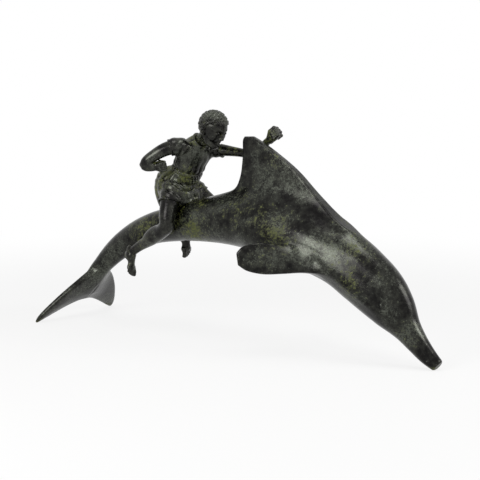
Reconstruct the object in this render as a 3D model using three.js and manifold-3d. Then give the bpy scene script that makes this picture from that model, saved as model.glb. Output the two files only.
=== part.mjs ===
// Bronze figurine: a rider in a short tunic sits astride an arched dolphin.
// Millimetres, +Z up, the dolphin's head towards +X, its left side towards +Y.
// The origin is on the surface that the figurine stands on, below the middle of its box.
// Each casting is its own mesh. Spigots seat in sockets, and cross pins filed flush hold them.

import * as THREE from 'three';
import { mergeVertices } from 'three/addons/utils/BufferGeometryUtils.js';
import Module from 'manifold-3d';

const wasm = await Module();
wasm.setup();

// Castings and fixings
const seam = 0.3; // gap between two castings, and round a pin or a spigot
const wall = 5; // thickness of the dolphin's hollow casting
const footing = 0.8; // how deep the resting points are filed flat
const pinRadius = 1.6;
const spigotTaper = 0.88; // a spigot's end compared with its root

// Dolphin: sections from the flukes to the root of the beak. x and z place a section's middle, wide is
// half its width, above and below are its heights over and under the middle.
const trunkSections = [
  { x: -200, z: 36, wide: 11, above: 4.5, below: 4.5 },
  { x: -181, z: 58, wide: 9.5, above: 9, below: 9.5 },
  { x: -159, z: 78, wide: 10, above: 12, below: 12.5 },
  { x: -134, z: 93.5, wide: 12, above: 14.5, below: 14 },
  { x: -107, z: 105, wide: 14.5, above: 16, below: 16 },
  { x: -77, z: 112, wide: 17.5, above: 18, below: 18 },
  { x: -45, z: 118, wide: 21, above: 21.5, below: 21.5 },
  { x: -12, z: 121, wide: 24, above: 24.5, below: 24.5 },
  { x: 22, z: 120, wide: 26.5, above: 26.5, below: 27 },
  { x: 55, z: 114, wide: 27.5, above: 27, below: 28.5 },
  { x: 88, z: 105.5, wide: 27, above: 26, below: 27.5 },
  { x: 117, z: 94, wide: 25.5, above: 27, below: 26 },
  { x: 141, z: 80, wide: 23.5, above: 28.5, below: 26.5 },
  { x: 161, z: 66, wide: 20.5, above: 26.5, below: 25.5 },
  { x: 177, z: 52, wide: 16.5, above: 20.5, below: 22 },
  { x: 190, z: 38, wide: 12, above: 12, below: 15.5 },
];
// The beak goes on from the last of them. share runs along it, and drop is how far it hangs below its chord.
const beak = { length: 44.2, slope: 45.5 };
const beakSections = [
  { share: 0.344, drop: 0.9, wide: 9.5, above: 9.2, below: 12 },
  { share: 0.68, drop: 1.5, wide: 7.8, above: 8.4, below: 8.6 },
  { share: 1, drop: 0, wide: 6, above: 6.2, below: 5.6 },
];
const bodySides = 24;
const bodySteps = 29;
const cavitySides = 12;
const cavitySteps = 9;
const tailJointX = -139; // where the tail casting meets the body
const cavityEndX = 160; // the hollow stops behind the beak
const tailSpigotLength = 26;
const tailPinInset = 8; // from the spigot's root and from its end

// Eyes and mouth
const eye = { x: 171, rise: 4, length: 3.4, height: 2, swell: 1.1 }; // rise: degrees above the flank
const mouth = { cornerX: 182, wide: 1.2, deep: 1.3 };

// Dorsal fin: chords from the base to the tip, front and rear points in the dolphin's middle plane
const dorsalChords = [
  { front: [164, 84], rear: [-62, 118], thick: 40 },
  { front: [151, 105], rear: [-44, 132], thick: 33 },
  { front: [133, 120], rear: [-23, 143], thick: 25 },
  { front: [111, 134], rear: [-6, 152], thick: 18 },
  { front: [90, 152], rear: [0.5, 164], thick: 13 },
  { front: [67, 173], rear: [3, 179], thick: 10 },
  { front: [43, 189], rear: [3.5, 191], thick: 8.5 },
  { front: [26, 198.5], rear: [3.5, 199], thick: 7.5 },
  { front: [16, 203.5], rear: [5.5, 203], thick: 5.5 },
];
const dorsalCut = { x: 42, z: 156, fall: 0.16 }; // the joint's plane, which falls towards the head
const dorsalTenon = { wide: 15, thick: 5.5, deep: 9 };
const dorsalTenonX = [20, 64];

// Right pectoral fin: chords from the root to the tip. The left one mirrors it.
const pectoralChords = [
  { front: [120, -12, 86], rear: [84, -12, 107], thick: 22 },
  { front: [104, -24, 83], rear: [79, -24, 107], thick: 14 },
  { front: [92, -32, 83], rear: [72, -34, 108], thick: 9.5 },
  { front: [79, -41, 82], rear: [64, -44, 110], thick: 7.5 },
  { front: [65, -51, 81.5], rear: [56, -54, 110], thick: 6.5 },
  { front: [53, -60, 84.5], rear: [48, -61.5, 107], thick: 5.5 },
  { front: [45.5, -65, 90], rear: [44, -65.5, 101.5], thick: 4 },
];
const pectoralCut = 38; // distance from the first chord's middle to the joint
const pectoralTenon = { wide: 12, thick: 3.6, deep: 11 };
const pectoralPinBite = 0.9; // how far the blind pin goes on beyond the tenon

// Right fluke, in the plane of both: back runs from the stock to the tips, out runs sideways
const flukeRoot = { x: -177, z: 61, slope: 53 };
const flukeChords = [
  { front: [2, -3], rear: [49, -3], thick: 15 },
  { front: [7, 10], rear: [50, 9], thick: 11.5 },
  { front: [19, 25], rear: [55, 22], thick: 7.5 },
  { front: [36, 40], rear: [62, 36], thick: 6.2 },
  { front: [52, 51], rear: [68.5, 48], thick: 5.4 },
  { front: [62, 56.5], rear: [72, 55], thick: 4.6 },
  { front: [68.5, 58.5], rear: [73.5, 58], thick: 3.4 },
];

// Tunic: sections from the hem to the collar. turn is how far a section turns to the left, in degrees.
const tunicSections = [
  { at: [-73, 0, 130], wide: 21, deep: 19.5, turn: 0 },
  { at: [-75.5, 0, 140], wide: 22, deep: 22, turn: 0 },
  { at: [-78, 0, 151], wide: 21, deep: 22.5, turn: 0 },
  { at: [-72, 0, 159], wide: 17, deep: 16, turn: 4 },
  { at: [-66, 0, 165], wide: 15, deep: 12, turn: 8 },
  { at: [-61.5, 0, 174], wide: 17, deep: 12.5, turn: 15 },
  { at: [-57, 0, 183], wide: 19, deep: 12.5, turn: 20 },
  { at: [-53, 0, 190.5], wide: 15.5, deep: 10.5, turn: 20 },
  { at: [-50, 0, 195], wide: 9.5, deep: 8, turn: 20 },
];
const tunicSides = 28;
const tunicSteps = 10;
const belt = { z: 165, radius: 1.7 };
const folds = { count: 7, deep: 0.9, sway: 2.2 };
const hemThickness = 1.5; // cloth over a limb
const collar = { radius: 8.6, thick: 1.6 };

// Limbs: bones with places and radii, from inside the tunic to the wrist or the ankle
const rightArmBones = [
  [
    { at: [-54, -10, 189], size: 4.5 },
    { at: [-61, -18, 191.5], size: 7.2 },
    { at: [-71, -26.5, 188.5], size: 6.8 },
    { at: [-80, -33, 182.5], size: 5.8 },
    { at: [-87, -37, 176.5], size: 5.2 },
    { at: [-90, -38.3, 172], size: 3.6 },
  ],
  [
    { at: [-92, -38.5, 172], size: 3 },
    { at: [-88, -36.8, 171.6], size: 4.6 },
    { at: [-83.5, -34.4, 171], size: 4.6 },
    { at: [-79.5, -32, 171], size: 4 },
  ],
];
const leftArmBones = [
  [
    { at: [-55, 9, 187], size: 4.5 },
    { at: [-48, 16, 187], size: 7 },
    { at: [-37, 21, 186], size: 5.8 },
    { at: [-22, 22.5, 185], size: 4.6 },
    { at: [-8, 23, 184], size: 4.3 },
    { at: [1, 23, 185], size: 4.6 },
    { at: [8, 23, 189.5], size: 4.3 },
    { at: [15, 22.5, 196], size: 3.9 },
    { at: [20, 22, 200.5], size: 4.1 },
  ],
];
const rightLegLine = [ // the shin lies back along the dolphin's flank
  { at: [-73, -12, 150], size: 10 },
  { at: [-71, -20, 138], size: 9.6 },
  { at: [-69, -26.5, 124], size: 8.6 },
  { at: [-69, -28, 114], size: 8 },
  { at: [-77, -26.5, 107], size: 7.6 },
  { at: [-92, -23.5, 98], size: 7 },
  { at: [-109, -22, 89], size: 5.6 },
  { at: [-121, -22, 81], size: 4.4 },
];
const leftLegLine = [ // the knee is carried further forward and higher
  { at: [-73, 12, 150], size: 10 },
  { at: [-67, 20, 141], size: 9.4 },
  { at: [-58, 26.5, 131], size: 8.6 },
  { at: [-51.5, 29.5, 123.5], size: 8 },
  { at: [-57, 28, 117], size: 7.6 },
  { at: [-67, 25, 110], size: 7 },
  { at: [-79, 22.5, 103], size: 5.6 },
  { at: [-88, 22, 98], size: 4.4 },
];
const armCut = 20; // distance from a shoulder's middle to the edge of its sleeve
const legCut = 15; // distance from a hip's middle to the hem over its thigh
const armSpigot = { radius: 3.2, deep: 9 };
const legSpigot = { radius: 4.6, deep: 11 };
const armSides = 9;
const legSides = 10;

// Hands and feet
const rightHand = { at: [-75, -29.5, 171.5], along: [6, 3.4, 0.4], knuckles: [1, -3, 8], size: 5.6 };
const leftHand = { at: [24.5, 21.5, 203.5], along: [5, -0.6, 5], knuckles: [-4, 1, 5], size: 7.2 };
const footSections = [
  { along: -3, wide: 4, instep: 4, sole: 4.4 },
  { along: 2, wide: 4.6, instep: 4.8, sole: 7.6 },
  { along: 8, wide: 4.8, instep: 4.4, sole: 6.2 },
  { along: 14, wide: 5.6, instep: 3.4, sole: 4.4 },
  { along: 18.5, wide: 5.6, instep: 2.4, sole: 3.4 },
];
const footHeading = [0.2, -0.12, -1];
const toes = { count: 5, spread: 9.6, radius: 1.5, from: 16, reach: 23 };

// Head, in its own frame: x out of the face, y to the left, z to the crown
const headAt = [-33, 0, 208.5];
const headTurn = -6; // degrees to the left
const headBow = 22; // degrees that the face looks down
const skull = { long: 14.6, wide: 13, high: 14, up: 3 };
const jaw = { long: 9.4, wide: 8.6, high: 11, forward: 2.8, down: 6.5 };
const hair = { curl: 4.2, count: 44, lift: 1 };
const neck = { radius: 6.6, cut: 3 };
const neckSpigot = { radius: 3.4, deep: 8 };

// Rods between the rider's seat and the dolphin's back
const seatDowel = { radius: 2.6, top: 143, bottom: 119.5 };
const seatDowelX = [-84, -65];
const boss = { radius: 7, floor: 3 }; // thickening inside the hollow casting round each dowel

const X = new THREE.Vector3(1, 0, 0);
const Y = new THREE.Vector3(0, 1, 0);
const Z = new THREE.Vector3(0, 0, 1);
const vast = 1200; // longer than the figurine, for cutting blocks and rods
const point = (p) => new THREE.Vector3(...p);
const mirrored = ([x, y, z]) => [x, -y, z];
const pointAlong = (from, direction, distance) => from.clone().addScaledVector(direction, distance);

// Turns a closed geometry into a solid.
function solid(geometry) {
  const bare = geometry.clone();
  for (const name of Object.keys(bare.attributes)) {
    if (name !== 'position') bare.deleteAttribute(name);
  }
  const merged = mergeVertices(bare, 1e-4);
  return new wasm.Manifold(new wasm.Mesh({
    numProp: 3,
    vertProperties: new Float32Array(merged.attributes.position.array),
    triVerts: new Uint32Array(merged.index.array),
  }));
}

const joined = (solids) => solids.reduce((sum, s) => sum.add(s));

// Skins a row of rings, each with the same number of points, and closes both ends with a fan.
function skin(rings) {
  const sides = rings[0].length;
  const middle = (ring) => ring.reduce((sum, p) => sum.add(p), new THREE.Vector3()).divideScalar(sides);
  const points = [...rings.flat(), middle(rings[0]), middle(rings.at(-1))];
  const firstMiddle = points.length - 2;
  const lastRing = (rings.length - 1) * sides;
  const faces = [];
  for (let j = 0; j < sides; j++) {
    const next = (j + 1) % sides;
    for (let i = 0; i < lastRing; i += sides) {
      faces.push(i + j, i + next, i + next + sides);
      faces.push(i + j, i + next + sides, i + j + sides);
    }
    faces.push(firstMiddle, next, j);
    faces.push(firstMiddle + 1, lastRing + j, lastRing + next);
  }
  return new THREE.BufferGeometry().setFromPoints(points).setIndex(faces);
}

const smoothCurve = (points) => new THREE.CatmullRomCurve3(points, false, 'catmullrom', 0.5);
const evenly = (from, to, steps) => (
  Array.from({ length: steps + 1 }, (_, i) => from + ((to - from) * i) / steps)
);

// A smooth path with a section that changes along it. A section has a place, half its width, its
// heights above and below the path, and a turn in degrees about the path.
class Spine {
  constructor(sections, across) {
    this.path = smoothCurve(sections.map((s) => s.at));
    this.sizes = smoothCurve(sections.map((s) => new THREE.Vector3(s.wide, s.above, s.below)));
    this.turns = smoothCurve(sections.map((s) => new THREE.Vector3(s.turn ?? 0, 0, 0)));
    this.across = across;
  }

  // share runs from 0 to 1 along the path, in equal steps from section to section.
  frame(share) {
    const along = this.path.getTangent(share);
    const side = pointAlong(this.across, along, -this.across.dot(along)).normalize();
    side.applyAxisAngle(along, THREE.MathUtils.degToRad(this.turns.getPoint(share).x));
    return { at: this.path.getPoint(share), along, side, up: along.clone().cross(side) };
  }

  // The share at which a measure of the path, such as its x, passes a value.
  shareWhere(measure, value) {
    let [low, high] = [0, 1];
    while (high - low > 1e-6) {
      const middle = (low + high) / 2;
      if (measure(this.path.getPoint(middle)) < value) low = middle;
      else high = middle;
    }
    return low;
  }

  shareAtDistance(distance) {
    const start = this.path.getPoint(0);
    return this.shareWhere((p) => p.distanceTo(start), distance);
  }

  surface(share, angle, grow = 0) {
    const { at, side, up } = this.frame(share);
    const size = this.sizes.getPoint(share);
    const height = Math.sin(angle) > 0 ? size.y : size.z;
    return at
      .addScaledVector(side, Math.cos(angle) * (size.x + grow))
      .addScaledVector(up, Math.sin(angle) * (height + grow));
  }

  // The form between two shares of the path, with its surface moved out by grow. relief gives more
  // growth at a share and an angle.
  form({ from = 0, to = 1, sides = 16, steps = 12, grow = 0, relief = () => 0 }) {
    const rings = evenly(from, to, steps).map((share) => evenly(0, 2 * Math.PI, sides)
      .slice(0, sides)
      .map((angle) => this.surface(share, angle, grow + relief(share, angle))));
    return solid(skin(rings));
  }
}

// A fin of flat sections: each chord has a front and a rear point and a thickness. The front edge is
// blunt and the rear edge is thin. face is square to the chords.
function blade(chords, face, { sides = 14, steps = 9, grow = 0 } = {}) {
  const bluntness = { front: 0.62, rear: 1.15 };
  const fronts = smoothCurve(chords.map((c) => c.front));
  const rears = smoothCurve(chords.map((c) => c.rear));
  const thicknesses = smoothCurve(chords.map((c) => new THREE.Vector3(c.thick, 0, 0)));
  const out = chords.at(-1).front.clone().sub(chords[0].rear);
  const forwards = chords[0].front.clone().sub(chords[0].rear);
  const turning = Math.sign(forwards.cross(face).dot(out)); // keeps the faces pointing out on both sides
  const rings = evenly(0, 1, steps).map((share) => {
    const front = fronts.getPoint(share);
    const rear = rears.getPoint(share);
    const middle = front.clone().add(rear).multiplyScalar(0.5);
    const chord = front.distanceTo(rear) / 2 + grow;
    const ahead = front.sub(rear).normalize();
    const half = thicknesses.getPoint(share).x / 2 + grow;
    return evenly(0, 2 * Math.PI * turning, sides).slice(0, sides).map((angle) => {
      const power = Math.cos(angle) > 0 ? bluntness.front : bluntness.rear;
      const fullness = Math.sign(Math.sin(angle)) * Math.abs(Math.sin(angle)) ** power;
      return middle.clone()
        .addScaledVector(ahead, Math.cos(angle) * chord)
        .addScaledVector(face, fullness * half);
    });
  });
  return solid(skin(rings));
}

// Lays a geometry whose axis is +Y along a direction, with its middle at a point.
function laid(geometry, at, direction) {
  geometry.applyQuaternion(new THREE.Quaternion().setFromUnitVectors(Y, direction.clone().normalize()));
  return solid(geometry.translate(at.x, at.y, at.z));
}

function rod(from, to, radius, endRadius = radius, sides = 8) {
  const axis = to.clone().sub(from);
  const middle = from.clone().add(to).multiplyScalar(0.5);
  return laid(new THREE.CylinderGeometry(endRadius, radius, axis.length(), sides), middle, axis);
}

function ellipsoid(at, radii, sides = 12) {
  const ball = new THREE.SphereGeometry(1, sides, Math.round(sides / 2));
  return solid(ball.scale(...radii).translate(...at));
}

// A block that fills everything beyond a plane, on the side that the direction points to.
function beyond(at, direction) {
  const out = direction.clone().normalize();
  return laid(new THREE.BoxGeometry(vast, vast, vast), pointAlong(at, out, vast / 2), out);
}

// A box with its middle at a point, lengthened along x, y and z of a frame of three directions.
function orientedBox(at, [x, y, z], sizes) {
  const box = new THREE.BoxGeometry(...sizes).applyMatrix4(new THREE.Matrix4().makeBasis(x, y, z));
  return solid(box.translate(at.x, at.y, at.z));
}

// A round spigot that enters another casting at a point, its socket, and a blind cross pin through both.
// The pin comes in from the side that pinFrom points to, and is filed flush with the surface there.
function spigotJoint({ at, into, radius, deep, pinFrom }) {
  const direction = into.clone().normalize();
  const root = pointAlong(at, direction, -deep / 2);
  const end = pointAlong(at, direction, deep);
  const pinAxis = pointAlong(pinFrom, direction, -pinFrom.dot(direction)).normalize();
  const pinMiddle = pointAlong(at, direction, deep / 2);
  const pinEnd = pointAlong(pinMiddle, pinAxis, -radius - pinRadius);
  const outside = pointAlong(pinMiddle, pinAxis, vast / 20);
  return {
    spigot: rod(root, end, radius, radius * spigotTaper),
    socket: rod(root, pointAlong(end, direction, seam), radius + seam, radius * spigotTaper + seam),
    pin: rod(pinEnd, outside, pinRadius),
    pinHole: rod(pointAlong(pinEnd, pinAxis, -seam), outside, pinRadius + seam),
  };
}

// A flat tenon that enters another casting at a point, or its socket. wide runs along across.
function tenonBox({ at, into, across, wide, thick, deep }, grow) {
  const rooted = deep / 2; // how far it is rooted in its own casting
  return orientedBox(
    pointAlong(at, into, (deep + grow - rooted) / 2),
    [across, into, across.clone().cross(into)],
    [wide + 2 * grow, deep + grow + rooted, thick + 2 * grow],
  );
}

// Dolphin
const trunk = trunkSections.map((s) => ({ ...s, at: new THREE.Vector3(s.x, 0, s.z) }));
const beakSlope = THREE.MathUtils.degToRad(beak.slope);
const beakAhead = new THREE.Vector3(Math.cos(beakSlope), 0, -Math.sin(beakSlope));
const beakPlace = ({ share, drop }) => (
  pointAlong(pointAlong(trunk.at(-1).at, beakAhead, beak.length * share), Y.clone().cross(beakAhead), drop)
);
const dolphinSpine = new Spine([...trunk, ...beakSections.map((s) => ({ ...s, at: beakPlace(s) }))], Y);
const dolphinForm = (grow) => dolphinSpine.form({ sides: bodySides, steps: bodySteps, grow });
const dolphinShareAtX = (x) => dolphinSpine.shareWhere((p) => p.x, x);
const tailFrame = dolphinSpine.frame(dolphinShareAtX(tailJointX));

// The hollow of the casting with no shrink, or the form that fits in it with the seam as shrink.
function dolphinCore(shrink) {
  return dolphinSpine.form({
    from: dolphinShareAtX(tailJointX - wall),
    to: dolphinShareAtX(cavityEndX),
    sides: cavitySides,
    steps: cavitySteps,
    grow: -wall - shrink,
  });
}

function tailPins(grow) {
  return [tailPinInset, tailSpigotLength - tailPinInset].map((distance) => {
    const at = pointAlong(tailFrame.at, tailFrame.along, distance);
    return rod(pointAlong(at, Y, -vast / 20), pointAlong(at, Y, vast / 20), pinRadius + grow);
  });
}

function flukes() {
  const slope = THREE.MathUtils.degToRad(flukeRoot.slope);
  const back = new THREE.Vector3(-Math.cos(slope), 0, -Math.sin(slope));
  const face = Y.clone().cross(back);
  const root = new THREE.Vector3(flukeRoot.x, 0, flukeRoot.z);
  const inPlane = ([u, v], side) => pointAlong(pointAlong(root, back, u), Y, v * side);
  return joined([-1, 1].map((side) => blade(
    flukeChords.map((c) => ({ front: inPlane(c.front, side), rear: inPlane(c.rear, side), thick: c.thick })),
    face,
  )));
}

function eyes() {
  const share = dolphinShareAtX(eye.x);
  const { along, up } = dolphinSpine.frame(share);
  const rise = THREE.MathUtils.degToRad(eye.rise);
  const halves = [rise, Math.PI - rise].map((angle) => {
    const ball = new THREE.SphereGeometry(1, 10, 6).scale(eye.length, eye.height, eye.swell);
    const at = dolphinSpine.surface(share, angle);
    ball.applyMatrix4(new THREE.Matrix4().makeBasis(along, up, along.clone().cross(up)));
    return solid(ball.translate(at.x, at.y, at.z));
  });
  return joined(halves);
}

// The line of the closed mouth: a groove that follows the beak's surface from corner to corner.
function mouthGroove() {
  const from = dolphinShareAtX(mouth.cornerX);
  const steps = 8;
  const sides = [0, Math.PI].map((angle) => {
    const rings = evenly(from, 1, steps).map((share) => {
      const { along, side, up } = dolphinSpine.frame(share);
      const outward = side.clone().multiplyScalar(Math.cos(angle));
      const depth = mouth.deep * Math.min(1, (share - from) * steps + 0.2);
      const edge = pointAlong(dolphinSpine.surface(share, angle), along, share === 1 ? seam : 0);
      const [inner, outer] = [pointAlong(edge, outward, -depth), pointAlong(edge, outward, mouth.deep)];
      const half = mouth.wide / 2;
      return [
        pointAlong(inner, up, -half / 3),
        pointAlong(outer, up, -half * 2),
        pointAlong(outer, up, half * 2),
        pointAlong(inner, up, half / 3),
      ];
    });
    return solid(skin(angle === 0 ? rings : rings.map((ring) => ring.reverse())));
  });
  return joined(sides);
}

// Dorsal fin: the upper part is a casting of its own, with two tenons
const dorsalForm = (grow) => blade(dorsalChords.map((c) => ({
  front: new THREE.Vector3(c.front[0], 0, c.front[1]),
  rear: new THREE.Vector3(c.rear[0], 0, c.rear[1]),
  thick: c.thick,
})), Y, { sides: 18, steps: 11, grow });

function dorsalJoint() {
  const at = new THREE.Vector3(dorsalCut.x, 0, dorsalCut.z);
  const up = new THREE.Vector3(dorsalCut.fall, 0, 1).normalize();
  const along = Y.clone().cross(up);
  const placed = (x) => pointAlong(at, along, x - dorsalCut.x);
  const into = up.clone().negate();
  const tenons = (grow) => joined(
    dorsalTenonX.map((x) => tenonBox({ at: placed(x), into, across: along, ...dorsalTenon }, grow)));
  const pins = (grow) => dorsalTenonX.map((x) => {
    const middle = pointAlong(placed(x), up, -dorsalTenon.deep / 2);
    return rod(pointAlong(middle, Y, -vast / 20), pointAlong(middle, Y, vast / 20), pinRadius + grow);
  });
  return {
    stub: dorsalForm(0).intersect(beyond(at, into)),
    fin: dorsalForm(0).intersect(beyond(pointAlong(at, up, seam), up)).add(tenons(0)),
    sockets: tenons(seam),
    pins: pins(0),
    pinHoles: joined(pins(seam)),
  };
}

// A pectoral fin is cut square to its length outside its root, and has one tenon. side is -1 for the
// right fin and 1 for the left one.
function pectoralJoint(side) {
  const chords = pectoralChords.map((c) => {
    const [front, rear] = [c.front, c.rear].map((p) => point(side < 0 ? p : mirrored(p)));
    return { front, rear, thick: c.thick };
  });
  const [root, tip] = [chords[0], chords.at(-1)].map((c) => c.front.clone().add(c.rear).multiplyScalar(0.5));
  const into = root.clone().sub(tip).normalize();
  const chord = chords[0].rear.clone().sub(chords[0].front);
  const across = pointAlong(chord, into, -chord.dot(into)).normalize();
  const face = across.clone().cross(into).normalize();
  const upper = face.z > 0 ? face : face.clone().negate();
  const form = blade(chords, face);
  const at = pointAlong(root, into, -pectoralCut);
  const tenon = (grow) => tenonBox({ at, into, across, ...pectoralTenon }, grow);
  const pinMiddle = pointAlong(at, into, pectoralTenon.deep / 2);
  const pinEnd = pointAlong(pinMiddle, upper, -pectoralTenon.thick / 2 - pectoralPinBite);
  const outside = pointAlong(pinMiddle, upper, vast / 20);
  return {
    stub: form.intersect(beyond(at, into)),
    fin: form.subtract(beyond(pointAlong(at, into, -seam), into)).add(tenon(0)),
    socket: tenon(seam),
    pin: rod(pinEnd, outside, pinRadius),
    pinHole: rod(pointAlong(pinEnd, upper, -seam), outside, pinRadius + seam),
  };
}

// Rider
const tunicSpine = new Spine(tunicSections.map((s) => ({
  at: point(s.at), wide: s.wide, above: s.deep, below: s.deep, turn: -s.turn,
})), Y.clone().negate());
const beltShare = tunicSpine.shareWhere((p) => p.z, belt.z);

// Folds hang from the belt and gather towards it, deeper the further they are from it.
function foldRelief(share, angle) {
  const fromBelt = Math.min(1, Math.abs(share - beltShare) / Math.min(beltShare, 1 - beltShare));
  return folds.deep * fromBelt * Math.cos(folds.count * angle + folds.sway * Math.sin(6 * share));
}

function tunic() {
  const cloth = tunicSpine.form({ sides: tunicSides, steps: tunicSteps, relief: foldRelief });
  const from = tunicSpine.shareWhere((p) => p.z, belt.z - belt.radius);
  const to = tunicSpine.shareWhere((p) => p.z, belt.z + belt.radius);
  const profile = (share) => belt.radius * Math.sin((Math.PI * (share - from)) / (to - from));
  return cloth.add(tunicSpine.form({ from, to, sides: 20, steps: 2, grow: seam, relief: profile }));
}

const boneSpine = (bone, across) => new Spine(
  bone.map((s) => ({ at: point(s.at), wide: s.size, above: s.size, below: s.size })),
  across,
);

// A closed hand: a palm, four curled fingers and a thumb laid over them. knuckles points along the row.
function fist({ at, along, knuckles, size }) {
  const ahead = point(along).normalize();
  const row = pointAlong(point(knuckles), ahead, -point(knuckles).dot(ahead)).normalize();
  const out = ahead.clone().cross(row);
  const place = ([a, r, o]) => point(at)
    .addScaledVector(ahead, a * size).addScaledVector(row, r * size).addScaledVector(out, o * size);
  const palm = new Spine([
    { at: place([-1, 0, 0]), wide: 0.58 * size, above: 0.55 * size, below: 0.55 * size },
    { at: place([-0.3, 0, 0]), wide: 0.8 * size, above: 0.6 * size, below: 0.6 * size },
    { at: place([0.4, 0, 0]), wide: 0.82 * size, above: 0.6 * size, below: 0.6 * size },
    { at: place([0.9, 0, -0.1]), wide: 0.78 * size, above: 0.5 * size, below: 0.5 * size },
  ], row).form({ sides: 8, steps: 4 });
  const digit = (places) => joined(places.slice(1).map(
    (end, i) => rod(place(places[i]), place(end), 0.27 * size, 0.24 * size, 5)));
  const fingers = [-0.62, -0.21, 0.21, 0.62].map(
    (r) => digit([[0.1, r, 0.4], [0.9, r, 0.3], [0.75, r, -0.5], [0, r, -0.45]]));
  const thumb = digit([[-0.5, 0.6, -0.2], [0.15, 0.5, -0.72], [0.6, 0, -0.75]]);
  return joined([palm, ...fingers, thumb]);
}

// A foot that hangs with its toes down. The instep faces forwards.
function foot(ankle, heading) {
  const ahead = point(heading).normalize();
  const side = pointAlong(Y, ahead, -Y.dot(ahead)).normalize();
  const place = (distance, sideways = 0) => (
    pointAlong(pointAlong(point(ankle), ahead, distance), side, sideways)
  );
  const sole = new Spine(footSections.map((s) => ({
    at: place(s.along), wide: s.wide, above: s.instep, below: s.sole,
  })), side).form({ sides: 10, steps: 5 });
  const row = evenly(-1, 1, toes.count - 1).map((where) => {
    const reach = toes.from + (toes.reach - toes.from) * (1 - 0.22 * where * where);
    const sideways = (where * (toes.spread - 2 * toes.radius)) / 2;
    const [root, tip] = [place(toes.from, sideways * 0.9), place(reach, sideways)];
    return rod(root, tip, toes.radius * 1.1, toes.radius * 0.8, 5);
  });
  return joined([sole, ...row]);
}

// A limb is cut where it leaves its sleeve or hem, and its spigot runs back into the tunic.
function limb({ bones, across, sides, end, cut, spigot, pinFrom }) {
  const spines = bones.map((bone) => boneSpine(bone, across));
  const form = (grow) => joined(spines.map(
    (spine, i) => spine.form({ sides, steps: Math.round(bones[i].length * 1.4), grow })));
  const share = spines[0].shareAtDistance(cut);
  const { at, along } = spines[0].frame(share);
  const joint = spigotJoint({ at, into: along.clone().negate(), ...spigot, pinFrom });
  const free = form(0).add(end).subtract(beyond(pointAlong(at, along, seam), along.clone().negate()));
  return {
    sleeve: spines[0].form({ to: share, sides, steps: 4, grow: hemThickness }),
    room: form(seam).intersect(beyond(at, along)),
    piece: free.add(joint.spigot),
    joint,
  };
}

// The head, its curls and the neck
function head() {
  const goldenAngle = Math.PI * (3 - Math.sqrt(5));
  const scalp = [skull.long, skull.wide, skull.high].map((radius) => radius - hair.lift);
  const features = [
    ellipsoid([0, 0, skull.up], [skull.long, skull.wide, skull.high], 12),
    ellipsoid([jaw.forward, 0, -jaw.down], [jaw.long, jaw.wide, jaw.high], 10),
    ellipsoid([11.8, 0, -9.6], [1.8, 3.2, 0.9], 8),
    ellipsoid([11.2, 0, -11.4], [1.8, 2.8, 1], 8),
    ellipsoid([9.4, 0, -14.8], [3, 3.6, 2.4], 8),
    laid(new THREE.ConeGeometry(2.2, 8, 6), new THREE.Vector3(13, 0, -3.6), new THREE.Vector3(-0.35, 0, 1)),
  ];
  for (const side of [-1, 1]) {
    features.push(ellipsoid([-1, side * 11.2, -3], [2.4, 1.6, 3.6], 8));
    features.push(ellipsoid([11.4, side * 4.4, 0], [1.5, 2, 1.2], 8));
    features.push(ellipsoid([11.6, side * 4.2, 3], [1.8, 3.6, 1.1], 8));
  }
  for (let i = 0; i < hair.count; i++) {
    const z = 1 - (2 * i + 1) / hair.count;
    const level = Math.sqrt(1 - z * z);
    const [x, y] = [level * Math.cos(i * goldenAngle), level * Math.sin(i * goldenAngle)];
    const onFace = x > 0.4 && z < 0.5;
    const onNeck = z < -0.6 || (z < -0.2 && x > -0.2);
    if (onFace || onNeck) continue;
    const curl = new THREE.IcosahedronGeometry(hair.curl, 0).rotateZ(i);
    curl.translate(x * scalp[0], y * scalp[1], z * scalp[2] + skull.up);
    features.push(solid(curl));
  }
  const pose = new THREE.Matrix4().makeTranslation(...headAt)
    .multiply(new THREE.Matrix4().makeRotationZ(THREE.MathUtils.degToRad(headTurn)))
    .multiply(new THREE.Matrix4().makeRotationY(THREE.MathUtils.degToRad(headBow)));
  return joined(features).transform(pose.elements);
}

function neckJoint() {
  const base = point(tunicSections.at(-1).at);
  const into = base.clone().sub(point(headAt)).normalize();
  const at = pointAlong(base, into, -neck.cut);
  const joint = spigotJoint({ at, into, ...neckSpigot, pinFrom: new THREE.Vector3(-1, 0, 1) });
  const column = rod(at, point(headAt), neck.radius, neck.radius * 0.9, 14);
  const collarBase = pointAlong(at, into, neckSpigot.deep);
  return {
    collar: rod(collarBase, at, collar.radius + collar.thick, collar.radius, 20),
    room: beyond(at, into.clone().negate()),
    piece: column.add(head()).subtract(beyond(pointAlong(at, into, -seam), into)).add(joint.spigot),
    joint,
  };
}

// Everything together. A casting is made whole, then cut by its joints and by what it is fitted to.
const dorsal = dorsalJoint();
const pectorals = { right: pectoralJoint(-1), left: pectoralJoint(1) };
const stubs = [dorsal.stub, pectorals.right.stub, pectorals.left.stub];
const dolphinOutside = joined([dolphinForm(0), ...stubs, eyes()]);
const bodyOutside = dolphinOutside.intersect(beyond(tailFrame.at, tailFrame.along));
const tailOutside = dolphinForm(0).add(flukes())
  .subtract(beyond(pointAlong(tailFrame.at, tailFrame.along, -seam), tailFrame.along));
const lowest = (shape) => shape.boundingBox().min[2];
const floor = Math.max(lowest(bodyOutside), lowest(tailOutside)) + footing;
const ground = beyond(new THREE.Vector3(0, 0, floor), Z.clone().negate());

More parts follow.
